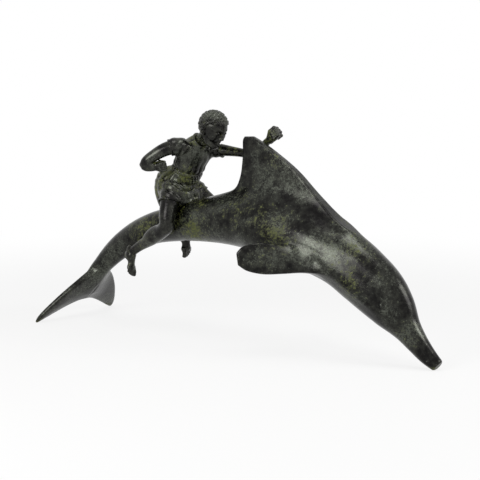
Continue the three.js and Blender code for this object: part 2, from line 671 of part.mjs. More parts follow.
const dowel = (x, grow) => rod(
  new THREE.Vector3(x, 0, seatDowel.bottom - grow),
  new THREE.Vector3(x, 0, seatDowel.top + grow),
  seatDowel.radius + grow,
);
const bosses = joined(seatDowelX.map((x) => rod(
  new THREE.Vector3(x, 0, seatDowel.bottom - boss.floor),
  new THREE.Vector3(x, 0, seatDowel.top),
  boss.radius,
)));
const dowelHoles = joined(seatDowelX.map((x) => dowel(x, seam)));
const tailHoles = joined(tailPins(seam));
const finHoles = joined([dorsal.pinHoles, pectorals.right.pinHole, pectorals.left.pinHole]);
const spigotEnd = pointAlong(tailFrame.at, tailFrame.along, tailSpigotLength);
const tailSpigot = dolphinCore(seam).subtract(beyond(spigotEnd, tailFrame.along));
const hollow = dolphinCore(0).subtract(bosses);

const body = bodyOutside
  .subtract(hollow)
  .subtract(joined([mouthGroove(), dorsal.sockets, pectorals.right.socket, pectorals.left.socket]))
  .subtract(joined([finHoles, tailHoles, dowelHoles]))
  .subtract(ground);
const tail = tailOutside.add(tailSpigot).subtract(tailHoles).subtract(ground);

const clearOfDolphin = dolphinForm(seam);
const limbs = {
  arm_right: limb({
    bones: rightArmBones, across: Z, sides: armSides, end: fist(rightHand),
    cut: armCut, spigot: armSpigot, pinFrom: new THREE.Vector3(-1, 0, 0.6),
  }),
  arm_left: limb({
    bones: leftArmBones, across: Z, sides: armSides, end: fist(leftHand),
    cut: armCut, spigot: armSpigot, pinFrom: new THREE.Vector3(-0.2, 0, 1),
  }),
  leg_right: limb({
    bones: [rightLegLine], across: X, sides: legSides, end: foot(rightLegLine.at(-1).at, footHeading),
    cut: legCut, spigot: legSpigot, pinFrom: Y.clone().negate(),
  }),
  leg_left: limb({
    bones: [leftLegLine], across: X, sides: legSides,
    end: foot(leftLegLine.at(-1).at, mirrored(footHeading)), cut: legCut, spigot: legSpigot, pinFrom: Y,
  }),
};
const headAndNeck = neckJoint();
const fitted = [...Object.values(limbs), headAndNeck];
const torsoOutside = joined([tunic(), headAndNeck.collar, ...Object.values(limbs).map((l) => l.sleeve)]);
const torso = torsoOutside
  .subtract(clearOfDolphin)
  .subtract(joined(fitted.map((f) => f.room)))
  .subtract(joined(fitted.flatMap((f) => [f.joint.socket, f.joint.pinHole])))
  .subtract(dowelHoles);

// The figurine, with its lowest points filed flat at the floor
const figurine = new THREE.Group();
const dolphinGroup = new THREE.Group();
const riderGroup = new THREE.Group();
figurine.add(dolphinGroup, riderGroup);

const finishes = {
  dark: { color: '#32332f', roughness: 0.42, metalness: 0.85 },
  green: { color: '#3c3f27', roughness: 0.55, metalness: 0.7 },
  pin: { color: '#413b30', roughness: 0.4, metalness: 0.9 },
};

function addPiece(parent, name, shape, finish) {
  const mesh = shape.getMesh();
  const geometry = new THREE.BufferGeometry();
  geometry.setAttribute('position', new THREE.BufferAttribute(new Float32Array(mesh.vertProperties), 3));
  geometry.setIndex(new THREE.BufferAttribute(new Uint32Array(mesh.triVerts), 1));
  geometry.computeBoundingBox();
  const middle = geometry.boundingBox.getCenter(new THREE.Vector3());
  geometry.translate(-middle.x, -middle.y, -middle.z);
  geometry.computeVertexNormals();
  const piece = new THREE.Mesh(geometry, new THREE.MeshStandardMaterial(finish));
  piece.name = name;
  piece.position.copy(middle);
  parent.add(piece);
}

addPiece(dolphinGroup, 'dolphin_body', body, finishes.dark);
addPiece(dolphinGroup, 'tail_flukes', tail, finishes.dark);
addPiece(dolphinGroup, 'dorsal_fin', dorsal.fin.subtract(dorsal.pinHoles), finishes.dark);
tailPins(0).forEach((pin, i) => {
  addPiece(dolphinGroup, `tail_pin_${i + 1}`, pin.intersect(bodyOutside), finishes.pin);
});
dorsal.pins.forEach((pin, i) => {
  addPiece(dolphinGroup, `dorsal_pin_${i + 1}`, pin.intersect(bodyOutside), finishes.pin);
});
for (const [side, parts] of Object.entries(pectorals)) {
  addPiece(dolphinGroup, `pectoral_fin_${side}`, parts.fin.subtract(parts.pinHole), finishes.dark);
  addPiece(dolphinGroup, `pectoral_pin_${side}`, parts.pin.intersect(bodyOutside), finishes.pin);
}
addPiece(riderGroup, 'rider_torso', torso, finishes.green);
addPiece(riderGroup, 'rider_head', headAndNeck.piece.subtract(headAndNeck.joint.pinHole), finishes.dark);
addPiece(riderGroup, 'neck_pin', headAndNeck.joint.pin.intersect(torsoOutside), finishes.pin);
for (const [name, { piece, joint }] of Object.entries(limbs)) {
  const cast = piece.subtract(joint.pinHole).subtract(clearOfDolphin);
  addPiece(riderGroup, `rider_${name}`, cast, finishes.dark);
  addPiece(riderGroup, `${name}_pin`, joint.pin.intersect(torsoOutside), finishes.pin);
}
seatDowelX.forEach((x, i) => addPiece(riderGroup, `seat_dowel_${i + 1}`, dowel(x, 0), finishes.pin));

const box = new THREE.Box3().setFromObject(figurine);
const centre = box.getCenter(new THREE.Vector3());
figurine.position.set(-centre.x, -centre.y, -floor);

export default figurine;
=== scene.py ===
"""Bronze figurine: a rider in a short tunic sits astride an arched dolphin.

Lengths are in millimetres in the design's own frame, +X to the beak, +Y to the dolphin's left, +Z up.
Each casting is the zero surface of a field: a function that is negative inside the metal and about the
distance to its surface outside. Fields are joined with fillets, as a modeller blends wax.
"""
import math

import bmesh
import bpy
import numpy as np
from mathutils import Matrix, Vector


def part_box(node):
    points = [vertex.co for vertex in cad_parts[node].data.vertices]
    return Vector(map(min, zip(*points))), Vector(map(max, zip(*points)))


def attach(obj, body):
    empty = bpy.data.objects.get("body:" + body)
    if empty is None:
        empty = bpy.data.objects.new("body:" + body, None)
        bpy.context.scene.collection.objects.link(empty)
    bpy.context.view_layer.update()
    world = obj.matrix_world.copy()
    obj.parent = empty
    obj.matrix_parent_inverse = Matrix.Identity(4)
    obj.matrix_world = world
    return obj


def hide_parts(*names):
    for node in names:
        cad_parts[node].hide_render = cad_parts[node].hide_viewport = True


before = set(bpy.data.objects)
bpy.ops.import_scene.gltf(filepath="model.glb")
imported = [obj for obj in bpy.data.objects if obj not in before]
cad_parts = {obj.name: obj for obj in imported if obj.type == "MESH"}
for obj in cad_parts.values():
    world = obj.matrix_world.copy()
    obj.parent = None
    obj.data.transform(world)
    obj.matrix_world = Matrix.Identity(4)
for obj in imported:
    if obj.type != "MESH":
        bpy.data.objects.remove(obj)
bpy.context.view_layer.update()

MM = 0.001
COARSER = 1.0

# The front seat rod's middle ties the design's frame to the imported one.
SEAT_ROD_MIDDLE = (-84, 0, 131.25)
rod_box = np.array(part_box("seat_dowel_1")) / MM
OFFSET = rod_box.mean(axis=0) - SEAT_ROD_MIDDLE


# Fields

def smooth_curve(points, shares):
    """A smooth curve through points; share 0 is the first point and 1 the last."""
    points = np.asarray(points, float)
    padded = np.vstack([2 * points[0] - points[1], points, 2 * points[-1] - points[-2]])
    where = np.clip(shares, 0, 1) * (len(points) - 1)
    i = np.minimum(where.astype(int), len(points) - 2)
    t = (where - i)[..., None]
    a, b, c, d = padded[i], padded[i + 1], padded[i + 2], padded[i + 3]
    square, cube = 2 * a - 5 * b + 4 * c - d, 3 * b - a - 3 * c + d
    return 0.5 * (2 * b + (c - a) * t + square * t ** 2 + cube * t ** 3)


def unit(v):
    v = np.asarray(v, float)
    return v / np.linalg.norm(v, axis=-1, keepdims=True)


def length(v):
    return np.sqrt(np.einsum("...i,...i", v, v))


def dots(a, b):
    return np.einsum("ij,ij->i", a, b)


def union(a, b, fillet):
    """Two forms joined, with a fillet of about this size between them."""
    h = np.maximum(fillet - np.abs(a - b), 0) / fillet
    return np.minimum(a, b) - h * h * fillet / 4


def carve(a, b, fillet):
    """What is left of a when b is cut out of it."""
    return -union(-a, b, fillet)


def common(a, b, fillet):
    """What two forms share."""
    return -union(-a, -b, fillet)


def smooth_step(low, high, x):
    t = np.clip((x - low) / (high - low), 0, 1)
    return t * t * (3 - 2 * t)


def ellipse_distance(q, radii):
    """The distance to an ellipse or ellipsoid about the origin, right at its surface."""
    k0 = length(q / radii) + 1e-9
    k1 = length(q / radii ** 2) + 1e-9 / np.min(radii, axis=-1)
    return (k0 - 1) * k0 / k1


def ellipsoid(p, centre, radii, axes=None):
    q = p - centre
    if axes is not None:
        q = q @ axes.T
    return ellipse_distance(q, np.array(radii))


def round_cone(p, a, b, radius_a, radius_b):
    """A cone from a ball at a to a ball at b."""
    along = np.subtract(b, a)
    t = np.clip((p - a) @ along / (along @ along), 0, 1)
    return length(p - a - t[:, None] * along) - (radius_a + (radius_b - radius_a) * t)


def rope(p, places, radii, fillet):
    """A chain of round cones through places."""
    whole = round_cone(p, places[0], places[1], radii[0], radii[1])
    for i in range(1, len(places) - 1):
        whole = union(whole, round_cone(p, places[i], places[i + 1], radii[i], radii[i + 1]), fillet)
    return whole


def modelled(q, whole, steps):
    """Joins forms to a whole or cuts them out. A step is the change, its fillet, a form and its sizes."""
    for change, fillet, form, *sizes in steps:
        whole = change(whole, form(q, *sizes), fillet)
    return whole


class Lattice:
    """Values kept on a square lattice in a plane, and read back between its points."""

    def __init__(self, low, high, step, values):
        self.low, self.step = np.asarray(low, float), step
        counts = np.ceil((np.asarray(high) - low) / step).astype(int) + 1
        u, v = np.meshgrid(*(self.low[k] + step * np.arange(counts[k]) for k in (0, 1)), indexing="ij")
        self.table = values(np.stack([u.ravel(), v.ravel()], 1)).reshape(*counts, -1)

    def __call__(self, q):
        table = self.table
        last = np.array(table.shape[:2]) - 1.001  # just inside the last cell
        where = np.clip((q - self.low) / self.step, 0, last)
        i, j = where.astype(int).T
        s, t = (where - np.stack([i, j], 1)).T[..., None]
        near = table[i, j] * (1 - t) + table[i, j + 1] * t
        far = table[i + 1, j] * (1 - t) + table[i + 1, j + 1] * t
        return (near * (1 - s) + far * s).T


def nearest_on_path(q, path):
    """The index, share and distance of the nearest point on a path's segments."""
    best = np.full(len(q), np.inf)
    index = np.zeros(len(q), int)
    share = np.zeros(len(q))
    for i in range(len(path) - 1):
        along = path[i + 1] - path[i]
        t = np.clip((q - path[i]) @ along / (along @ along), 0, 1)
        gap = q - path[i] - t[:, None] * along
        square = dots(gap, gap)
        closer = square < best
        best[closer], index[closer], share[closer] = square[closer], i, t[closer]
    return index, share, np.sqrt(best)


class Loft:
    """A form with an elliptical section that changes along a smooth path.

    A section is a place, its half width, height above and height below, and its turn in degrees."""

    END_FILLET = 2

    def __init__(self, sections, across, samples):
        shares = np.linspace(0, 1, samples)
        places, sizes, turns = zip(*sections)
        self.path, self.sizes = smooth_curve(places, shares), smooth_curve(sizes, shares)
        turns = np.radians(smooth_curve(np.array(turns, float)[:, None], shares))
        self.along = unit(np.gradient(self.path, axis=0))
        side = unit(across - (self.along @ across)[:, None] * self.along)
        up = np.cross(self.along, side)
        self.side = side * np.cos(turns) + up * np.sin(turns)
        self.up = np.cross(self.along, self.side)
        steps = length(np.diff(self.path, axis=0))
        self.run = np.concatenate([[0], np.cumsum(steps)])

    def locate(self, p):
        """Run along the path, place sideways, place upwards and half sizes for each point."""
        i, t, _ = nearest_on_path(p, self.path)

        def mix(values):
            share = t if values.ndim == 1 else t[:, None]
            return values[i] + (values[i + 1] - values[i]) * share

        q = p - mix(self.path)
        ahead, side, up = (dots(q, mix(axes)) for axes in (self.along, self.side, self.up))
        beyond = np.where((i == 0) & (t <= 0) | (i == len(self.path) - 2) & (t >= 1), ahead, 0)
        return mix(self.run) + beyond, side, up, mix(self.sizes)

    def skin(self, located, relief=None):
        """The form at located points. relief says how far the skin stands out at a run and an angle."""
        run, side, up, sizes = located
        height = np.where(up > 0, sizes[:, 1], sizes[:, 2])
        shell = ellipse_distance(np.stack([side, up], 1), np.stack([sizes[:, 0], height], 1))
        if relief:
            angle = np.arctan2(up / height, side / sizes[:, 0])
            shell = shell - relief(run, angle)
        return common(shell, np.maximum(-run, run - self.run[-1]), self.END_FILLET)

    def __call__(self, p):
        return self.skin(self.locate(p))


class Fin:
    """A flat form given by chords from its root to its tip.

    A chord is a front and a rear point and a thickness. A point's third value is its height over the fin's
    plane. The front edge is blunt and its edges have radius rim. They soften towards the root, between the
    two shares of soft. The rear edge is thin and round."""

    CHORDS = 90  # worked out between the given ones
    MARGIN, STEP = 26, 0.8  # room round the outline on the lattice, and its step
    FRONT_SHARE, REAR_SHARE = 0.8, 0.34  # thickness at the edges compared with the middle
    FRONT_FALL, REAR_FALL = 2, 1.7  # powers by which it falls to that
    BLUNT = -0.2, 0.7  # where the edge turns blunt, from -1 at the rear to 1 at the front

    def __init__(self, chords, origin, u_axis, v_axis, rim=1.5, soft=(-1, 0)):
        shares = np.linspace(0, 1, self.CHORDS)
        self.front = smooth_curve([(*front, 0)[:3] for front, _, _ in chords], shares)
        self.rear = smooth_curve([(*rear, 0)[:3] for _, rear, _ in chords], shares)
        self.half = smooth_curve([(thick / 2,) for _, _, thick in chords], shares)[:, 0]
        self.outline = np.vstack([self.front, self.rear[::-1], self.front[:1]])[:, :2]
        self.rim, self.soft = rim, soft
        self.origin = np.asarray(origin, float)
        self.axes = unit(np.array([u_axis, v_axis, np.cross(u_axis, v_axis)]))
        low, high = self.outline.min(0) - self.MARGIN, self.outline.max(0) + self.MARGIN
        self.lattice = Lattice(low, high, self.STEP, self.measure)

    def measure(self, q):
        """At points of the plane: how far inside the outline, height, half thickness and edge radius."""
        _, _, gap = nearest_on_path(q, self.outline)
        inside = np.zeros(len(q), bool)
        for (ax, ay), (bx, by) in zip(self.outline[:-1], self.outline[1:]):
            crosses = (ay > q[:, 1]) != (by > q[:, 1])
            inside ^= crosses & (q[:, 0] < ax + (q[:, 1] - ay) * (bx - ax) / (by - ay + 1e-12))
        place = self.chord_place(q)
        count = np.arange(self.CHORDS)

        def at(values):
            return np.array([np.interp(place, count, v) for v in values.T]).T

        rear, front = at(self.rear), at(self.front)
        reach = (front - rear)[:, :2]
        c = 2 * dots(q - rear[:, :2], reach) / dots(reach, reach) - 1
        c = np.clip(c, -1, 1)
        height = rear[:, 2] + (front - rear)[:, 2] * (c + 1) / 2
        front_share = 1 - (1 - self.FRONT_SHARE) * c ** self.FRONT_FALL
        rear_share = 1 - (1 - self.REAR_SHARE) * np.abs(c) ** self.REAR_FALL
        half = np.interp(place, count, self.half) * np.where(c > 0, front_share, rear_share)
        sharp = smooth_step(*self.BLUNT, c) * smooth_step(*self.soft, place / count[-1])
        rim = half + (np.minimum(half, self.rim) - half) * sharp
        return np.stack([np.where(inside, gap, -gap), height, half, rim], 1)

    def chord_place(self, q):
        """The chord that each point lies on, as a number between those of the chords beside it."""
        chord = self.front - self.rear
        beside = [chord[i, 0] * (q[:, 1] - self.rear[i, 1]) - chord[i, 1] * (q[:, 0] - self.rear[i, 0])
                  for i in range(len(chord))]
        beside = np.array(beside) * np.sign(beside[0].mean() - beside[-1].mean())
        past = np.clip((beside > 0).sum(0) - 1, 0, len(chord) - 2)
        columns = np.arange(len(q))
        before, after = beside[past, columns], beside[past + 1, columns]
        return past + np.clip(before / (before - after + 1e-9), 0, 1)

    def plane(self, p):
        return (p - self.origin) @ self.axes.T

    def __call__(self, p):
        q = self.plane(p)
        inside, height, half, rim = self.lattice(q[:, :2])
        out = rim - inside
        over = np.abs(q[:, 2] - height) - (half - rim)
        corner = np.sqrt(np.maximum(out, 0) ** 2 + np.maximum(over, 0) ** 2)
        return corner + np.minimum(np.maximum(out, over), 0) - rim


# Meshes from fields

COARSE = 4  # a field is first sampled at every fourth place
CLOSE = 1.15  # and then within this many coarse steps of its surface
BATCH = 300000  # places sampled at a time
SQUARE = ((0, 0), (1, 0), (1, 1), (0, 1))  # corners, in turn


def field_on_grid(field, low, step, counts):
    """Samples a field on a grid, exactly near its surface and roughly elsewhere."""
    few = [n // COARSE + 2 for n in counts]
    axes = [low[k] + COARSE * step * np.arange(few[k]) for k in range(3)]
    rough = field(np.stack(np.meshgrid(*axes, indexing="ij"), -1).reshape(-1, 3)).reshape(few)
    nearest = [(np.arange(n) + COARSE // 2) // COARSE for n in counts]
    values = rough[np.ix_(*nearest)]
    close = np.argwhere(np.abs(values) < CLOSE * COARSE * step)
    for part in np.array_split(close, max(1, len(close) // BATCH)):
        values[tuple(part.T)] = field(low + part * step)
    return values


def part_sheets(values, rounds=6):
    """Joins two sheets of the surface where they would share an edge."""
    for u, v in ((0, 1), (0, 2), (1, 2)) * rounds:
        counts = np.array(values.shape) - np.isin(range(3), (u, v))
        corners = [np.array([(k == u) * du + (k == v) * dv for k in range(3)]) for du, dv in SQUARE]
        inside = values < 0
        a, b, c, d = (inside[tuple(slice(o, o + n) for o, n in zip(corner, counts))] for corner in corners)
        for place in np.argwhere((a == c) & (b == d) & (a != b)):
            outside = [tuple(place + corner) for corner in corners if values[tuple(place + corner)] >= 0]
            if len(outside) == 2:
                weakest = min(outside, key=lambda k: values[k])
                values[weakest] = -max(values[weakest], 1e-3)


def zero_surface(field, low, high, step):
    """Vertices and four-sided faces of a field's zero surface, one vertex in each cell that it crosses."""
    step = step * COARSER
    low = np.asarray(low, float)
    counts = [int(n) for n in np.ceil((np.asarray(high) - low) / step).astype(int) + 1]
    values = field_on_grid(field, low, step, counts)
    part_sheets(values)
    cells = [n - 1 for n in counts]
    strides = np.array([cells[1] * cells[2], cells[2], 1])
    total = math.prod(cells)
    sums, hits, faces = np.zeros((total, 3)), np.zeros(total), []
    for axis in range(3):
        a = np.take(values, range(counts[axis] - 1), axis)
        b = np.take(values, range(1, counts[axis]), axis)
        edges = np.argwhere((a < 0) != (b < 0))
        va, vb = a[tuple(edges.T)], b[tuple(edges.T)]
        at = edges.astype(float)
        at[:, axis] += va / (va - vb)
        u, v = ((1, 2), (2, 0), (0, 1))[axis]
        around = []
        for du, dv in SQUARE:
            cell = edges.copy()
            cell[:, u] -= du
            cell[:, v] -= dv
            around.append(cell @ strides)
            for k in range(3):
                sums[:, k] += np.bincount(around[-1], at[:, k], total)
            hits += np.bincount(around[-1], minlength=total)
        quads = np.stack(around, 1)
        faces.append(np.where((va < 0)[:, None], quads, quads[:, ::-1]))
    used = np.flatnonzero(hits)
    number = np.zeros(total, int)
    number[used] = np.arange(len(used))
    vertices, faces = main_surface(low + step * sums[used] / hits[used, None], number[np.vstack(faces)])
    return settle(field, vertices, step), faces


def main_surface(vertices, faces):
    """The largest joined surface, without stray bits."""
    label = np.arange(len(vertices))
    settled = False
    while not settled:
        lower = label.copy()
        np.minimum.at(lower, faces.ravel(), np.repeat(label[faces].min(1), 4))
        lower = lower[lower]
        settled = (lower == label).all()
        label = lower
    kept = label == np.bincount(label).argmax()
    number = np.cumsum(kept) - 1
    return vertices[kept], number[faces[kept[faces[:, 0]]]]


def settle(field, vertices, step):
    """Moves vertices onto the field's zero surface, in two short moves along its slope."""
    nudge = 0.2 * step
    farthest = 0.7 * step
    for _ in range(2):
        here = field(vertices)
        slope = np.stack([(field(vertices + nudge * axis) - here) / nudge for axis in np.eye(3)], 1)
        move = -here[:, None] * slope / np.maximum(dots(slope, slope), 0.05)[:, None]
        vertices = vertices + move * np.minimum(1, farthest / np.maximum(length(move), 1e-9))[:, None]
    return vertices


def new_mesh(name, vertices, faces):
    mesh = bpy.data.meshes.new(name)
    mesh.from_pydata(((vertices + OFFSET) * MM).tolist(), [], faces.tolist())
    return mesh


def new_object(name, data):
    made = bpy.data.objects.new(name, data)
    bpy.context.scene.collection.objects.link(made)
    return made


SHARP = math.radians(50)  # an edge that turns by more than this shows as one


def add_piece(name, mesh, slot):
    """Puts a casting in the scene in place of its CAD node."""
    for face in mesh.polygons:
        face.use_smooth = True
    mesh.set_sharp_from_angle(angle=SHARP)
    mesh.materials.append(bronze[slot])
    piece = new_object(name + "_cast", mesh)
    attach(piece, "root")
    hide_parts(name)


def middles(faces):
    """The faces' middles in the design's frame."""
    return np.array([face.calc_center_median() for face in faces]) / MM - OFFSET


def island_of(start):
    """The numbers of the faces that are joined to a face, itself included."""
    island, border = {start.index}, [start]
    while border:
        for edge in border.pop().edges:
            for other in edge.link_faces:
                if other.index not in island:
                    island.add(other.index)
                    border.append(other)
    return island


def cut_off(bm, at, out, zone):
    """Cuts off what lies in a zone beyond a plane, and returns it. Both parts are closed at the cut."""
    faces = [face for face, here in zip(bm.faces, zone(middles(bm.faces))) if here]
    geometry = set(faces)
    for face in faces:
        geometry.update(face.edges)
        geometry.update(face.verts)
    cut = bmesh.ops.bisect_plane(bm, geom=list(geometry), dist=1e-5,
                                 plane_co=Vector((at + OFFSET) * MM), plane_no=Vector(out))
    bmesh.ops.split_edges(bm, edges=[e for e in cut["geom_cut"] if isinstance(e, bmesh.types.BMEdge)])
    bm.faces.ensure_lookup_table()
    bm.faces.index_update()
    centres = middles(bm.faces)
    beyond = np.where(zone(centres), (centres - at) @ out, -np.inf)
    island = island_of(bm.faces[int(beyond.argmax())])
    loose = bm.copy()
    for part, on_island in ((loose, True), (bm, False)):
        others = [face for face in part.faces if (face.index in island) != on_island]
        bmesh.ops.delete(part, geom=others, context="FACES")
        bmesh.ops.edgeloop_fill(part, edges=[edge for edge in part.edges if edge.is_boundary])
        bmesh.ops.recalc_face_normals(part, faces=part.faces)
    return loose


# Dolphin

# From the flukes to the beak's tip: x and z of the middle, half width, height above and below
DOLPHIN_SECTIONS = [
    (-200, 36, 11, 4.5, 4.5), (-181, 58, 9.5, 9, 9.5), (-159, 78, 10, 12, 12.5), (-134, 93.5, 12, 14.5, 14),
    (-107, 105, 14.5, 16, 16), (-77, 112, 17.5, 18, 18), (-45, 118, 21, 21.5, 21.5),
    (-12, 121, 24, 24.5, 24.5), (22, 120, 26.5, 26.5, 27), (55, 114, 27.5, 27, 28.5),
    (88, 105.5, 27, 26, 27.5), (117, 94, 25.5, 27, 26), (141, 80, 23.5, 28.5, 26.5),
    (161, 66, 20.5, 26.5, 25.5), (177, 52, 16.5, 20.5, 22), (190, 38, 12, 12, 15.5),
    (199.8, 26.6, 9.5, 9.2, 12), (209.6, 15.5, 7.8, 8.4, 8.6), (221, 6.5, 6, 6.2, 5.6),
]
DORSAL_CHORDS = [  # front and rear points as x and z, thickness
    ((164, 84), (-62, 118), 40), ((151, 105), (-44, 132), 33), ((133, 120), (-23, 143), 25),
    ((111, 134), (-6, 152), 18), ((90, 152), (0.5, 164), 13), ((67, 173), (3, 179), 10),
    ((43, 189), (3.5, 191), 8.5), ((26, 198.5), (3.5, 199), 7.5), ((16, 203.5), (5.5, 203), 5.5),
]
DORSAL_FILLET, DORSAL_SWEEP = 7, 14  # the fillet at its foot, and its gain midway
SWEEP_REAR, SWEEP_FRONT = (-5, 25), (122, 84)  # x where the gain begins and is whole
PECTORAL_CHORDS = [  # of the right fin: front and rear points, thickness
    ((120, -12, 86), (84, -12, 107), 22), ((104, -24, 83), (79, -24, 107), 14),
    ((92, -32, 83), (72, -34, 108), 9.5), ((79, -41, 82), (64, -44, 110), 7.5),
    ((65, -51, 81.5), (56, -54, 110), 6.5), ((53, -60, 84.5), (48, -61.5, 107), 5.5),
    ((45.5, -65, 90), (44, -65.5, 101.5), 4),
]
PECTORAL_FILLET, PECTORAL_SWEEP = 5, 4  # the fillet at its root, and its gain on the outer face
VALLEY = [(119, -30, 86), (107, -31.2, 95.5), (96, -34, 105)]  # a soft hollow in front of its root
VALLEY_RADII, VALLEY_FILLET = [0.6, 2.7, 0.6], 5
FLUKE_ROOT = (-177, 0, 61)
FLUKE_SLOPE = math.radians(53)
FLUKE_CHORDS = [  # front and rear points as distances back from the root and sideways, thickness
    ((2, -3), (49, -3), 15), ((7, 10), (50, 9), 11.5), ((19, 25), (55, 22), 7.5), ((36, 40), (62, 36), 6.2),
    ((52, 51), (68.5, 48), 5.4), ((62, 56.5), (72, 55), 4.6), ((68.5, 58.5), (73.5, 58), 3.4),
]
FLUKE_FILLET = 7
FLOOR_Z = -OFFSET[2]  # the resting points are filed flat here
EYE_RUN, EYE_RISE, EYE_LENGTH, EYE_HEIGHT = 413, 1.4, 4.2, 2.4
MOUTH_RUN, MOUTH_RISE = 436, 2.2  # the mouth's corner along the trunk and over its middle
CHEEK_RISE, CHEEK_HOLLOW = 2.0, 1.3


trunk_path = Loft([((x, 0, z), sizes, 0) for x, z, *sizes in DOLPHIN_SECTIONS], (0, 1, 0), 260)
TIP_RUN = trunk_path.run[-1]


def trunk_measures(q):
    run, _, up, sizes = trunk_path.locate(np.stack([q[:, 0], np.zeros(len(q)), q[:, 1]], 1))
    return np.column_stack([run, up, sizes])


trunk_lattice = Lattice((-260, -40), (275, 215), 2.0, trunk_measures)


def cheek_relief(run, up, side):
    """A soft ridge along the head from the pectoral fin to the eye, and a hollow over it."""
    angle = np.degrees(np.arctan2(up, side))
    ridge = np.exp(-((angle + 12) / 15) ** 2) * smooth_step(330, 365, run) * smooth_step(432, 400, run)
    hollow = np.exp(-((angle - 28) / 16) ** 2) * smooth_step(320, 385, run) * smooth_step(440, 410, run)
    return CHEEK_RISE * ridge - CHEEK_HOLLOW * hollow


def trunk(p):
    run, up, wide, above, below = trunk_lattice(p[:, [0, 2]])
    height = np.where(up > 0, above, below)
    shell = ellipse_distance(np.stack([p[:, 1], up], 1), np.stack([wide, height], 1))
    shell = shell - cheek_relief(run, up / height, np.abs(p[:, 1]) / wide)
    return common(shell, np.maximum(-run, run - TIP_RUN), 2.4)


dorsal = Fin(DORSAL_CHORDS, (0, 0, 0), (1, 0, 0), (0, 0, 1), rim=1.0, soft=(0.2, 0.34))
fluke_back = np.array([-math.cos(FLUKE_SLOPE), 0, -math.sin(FLUKE_SLOPE)])
fluke = Fin(FLUKE_CHORDS, FLUKE_ROOT, fluke_back, (0, 1, 0))


def pectoral_fin():
    """The right fin, over a plane along its length and the chord halfway along it."""
    front, rear = (np.array([row[k] for row in PECTORAL_CHORDS], float) for k in (0, 1))
    root, tip = (front[0] + rear[0]) / 2, (front[-1] + rear[-1]) / 2
    out = unit(tip - root)
    across = front[3] - rear[3]
    across = unit(across - (across @ out) * out)
    axes = np.array([across, out, np.cross(across, out)])
    chords = [((f - root) @ axes.T, (r - root) @ axes.T, thick)
              for f, r, (_, _, thick) in zip(front, rear, PECTORAL_CHORDS)]
    return Fin(chords, root, across, out, rim=2.2)


pectoral = pectoral_fin()


def dolphin_back(p):
    """The trunk with the dorsal fin, whose sides sweep into the flanks."""
    x = p[:, 0]
    fillet = DORSAL_FILLET + DORSAL_SWEEP * smooth_step(*SWEEP_REAR, x) * smooth_step(*SWEEP_FRONT, x)
    return union(trunk(p), dorsal(p), fillet)


def face_details(p):
    """The closed mouth's line and an eye on the left side, as what is cut out and what is added."""
    run, up, _, _, _ = trunk_lattice(p[:, [0, 2]])
    skin = trunk(p)
    middle = MOUTH_RISE * (1 - smooth_step(MOUTH_RUN, TIP_RUN, run))
    depth = smooth_step(MOUTH_RUN - 2, MOUTH_RUN + 9, run) * smooth_step(TIP_RUN - 3, TIP_RUN - 10, run)
    line = np.hypot(up - middle, skin - 0.9) - 2.4 * depth + 2 * (1 - depth)
    ahead, over = run - EYE_RUN, up - EYE_RISE
    almond = np.abs(over) / EYE_HEIGHT + (ahead / EYE_LENGTH) ** 2 - 1
    lids = np.hypot(np.maximum(almond * 1.6, 0), skin - 0.2) - 0.55
    ball = np.hypot(np.hypot(ahead, over * 1.3) * 0.5, skin + 0.6) - 1
    return np.minimum(line, lids), ball


def dolphin(p):
    whole = dolphin_back(p)
    folded = p.copy()
    folded[:, 1] = -np.abs(p[:, 1])
    outward = -pectoral.plane(folded)[:, 2]
    whole = union(whole, pectoral(folded), PECTORAL_FILLET + PECTORAL_SWEEP * smooth_step(-2, 7, outward))
    whole = carve(whole, rope(folded, VALLEY, VALLEY_RADII, 1), VALLEY_FILLET)
    spread = folded * (1, -1, 1)
    whole = union(whole, fluke(spread), FLUKE_FILLET)
    cut, added = face_details(spread)
    whole = union(carve(whole, cut, 1.6), added, 0.4)
    return common(whole, FLOOR_Z - p[:, 2], 0.3)


DOLPHIN_STEP = 1.05
TAIL_JOINT_X = -139
DORSAL_CUT = (42, 0, 156)
DORSAL_CUT_FALL = 0.16
PECTORAL_CUT = 38  # distance from the root
PECTORAL_ZONE = 20, -28  # half width of the space round the right fin, and y where it begins


def everywhere(p):
    return np.ones(len(p), bool)


def pectoral_cut(side):
    """The place, direction and zone of a pectoral fin's cut. side is 1 for the right fin."""
    flip = np.array([1, side, 1])
    half_width, inner_y = PECTORAL_ZONE

    def on_fin(p):
        q = p * flip
        return (np.abs((q - pectoral.origin) @ pectoral.axes[0]) < half_width) & (q[:, 1] < inner_y)

    out = pectoral.axes[1]
    return (pectoral.origin + PECTORAL_CUT * out) * flip, out * flip, on_fin


def dolphin_castings():
    """The whole dolphin's skin, cut at the joints of its castings, by node name."""
    low, high = (-232, -72, FLOOR_Z - 4), (232, 72, 212)
    whole = bmesh.new()
    whole.from_mesh(new_mesh("dolphin", *zero_surface(dolphin, low, high, DOLPHIN_STEP)))
    joint = np.abs(trunk_path.path[:, 0] - TAIL_JOINT_X).argmin()
    return {
        "tail_flukes": cut_off(whole, trunk_path.path[joint], -trunk_path.along[joint], everywhere),
        "dorsal_fin": cut_off(whole, DORSAL_CUT, unit((DORSAL_CUT_FALL, 0, 1)), everywhere),
        "pectoral_fin_right": cut_off(whole, *pectoral_cut(1)),
        "pectoral_fin_left": cut_off(whole, *pectoral_cut(-1)),
        "dolphin_body": whole,
    }


# Rider

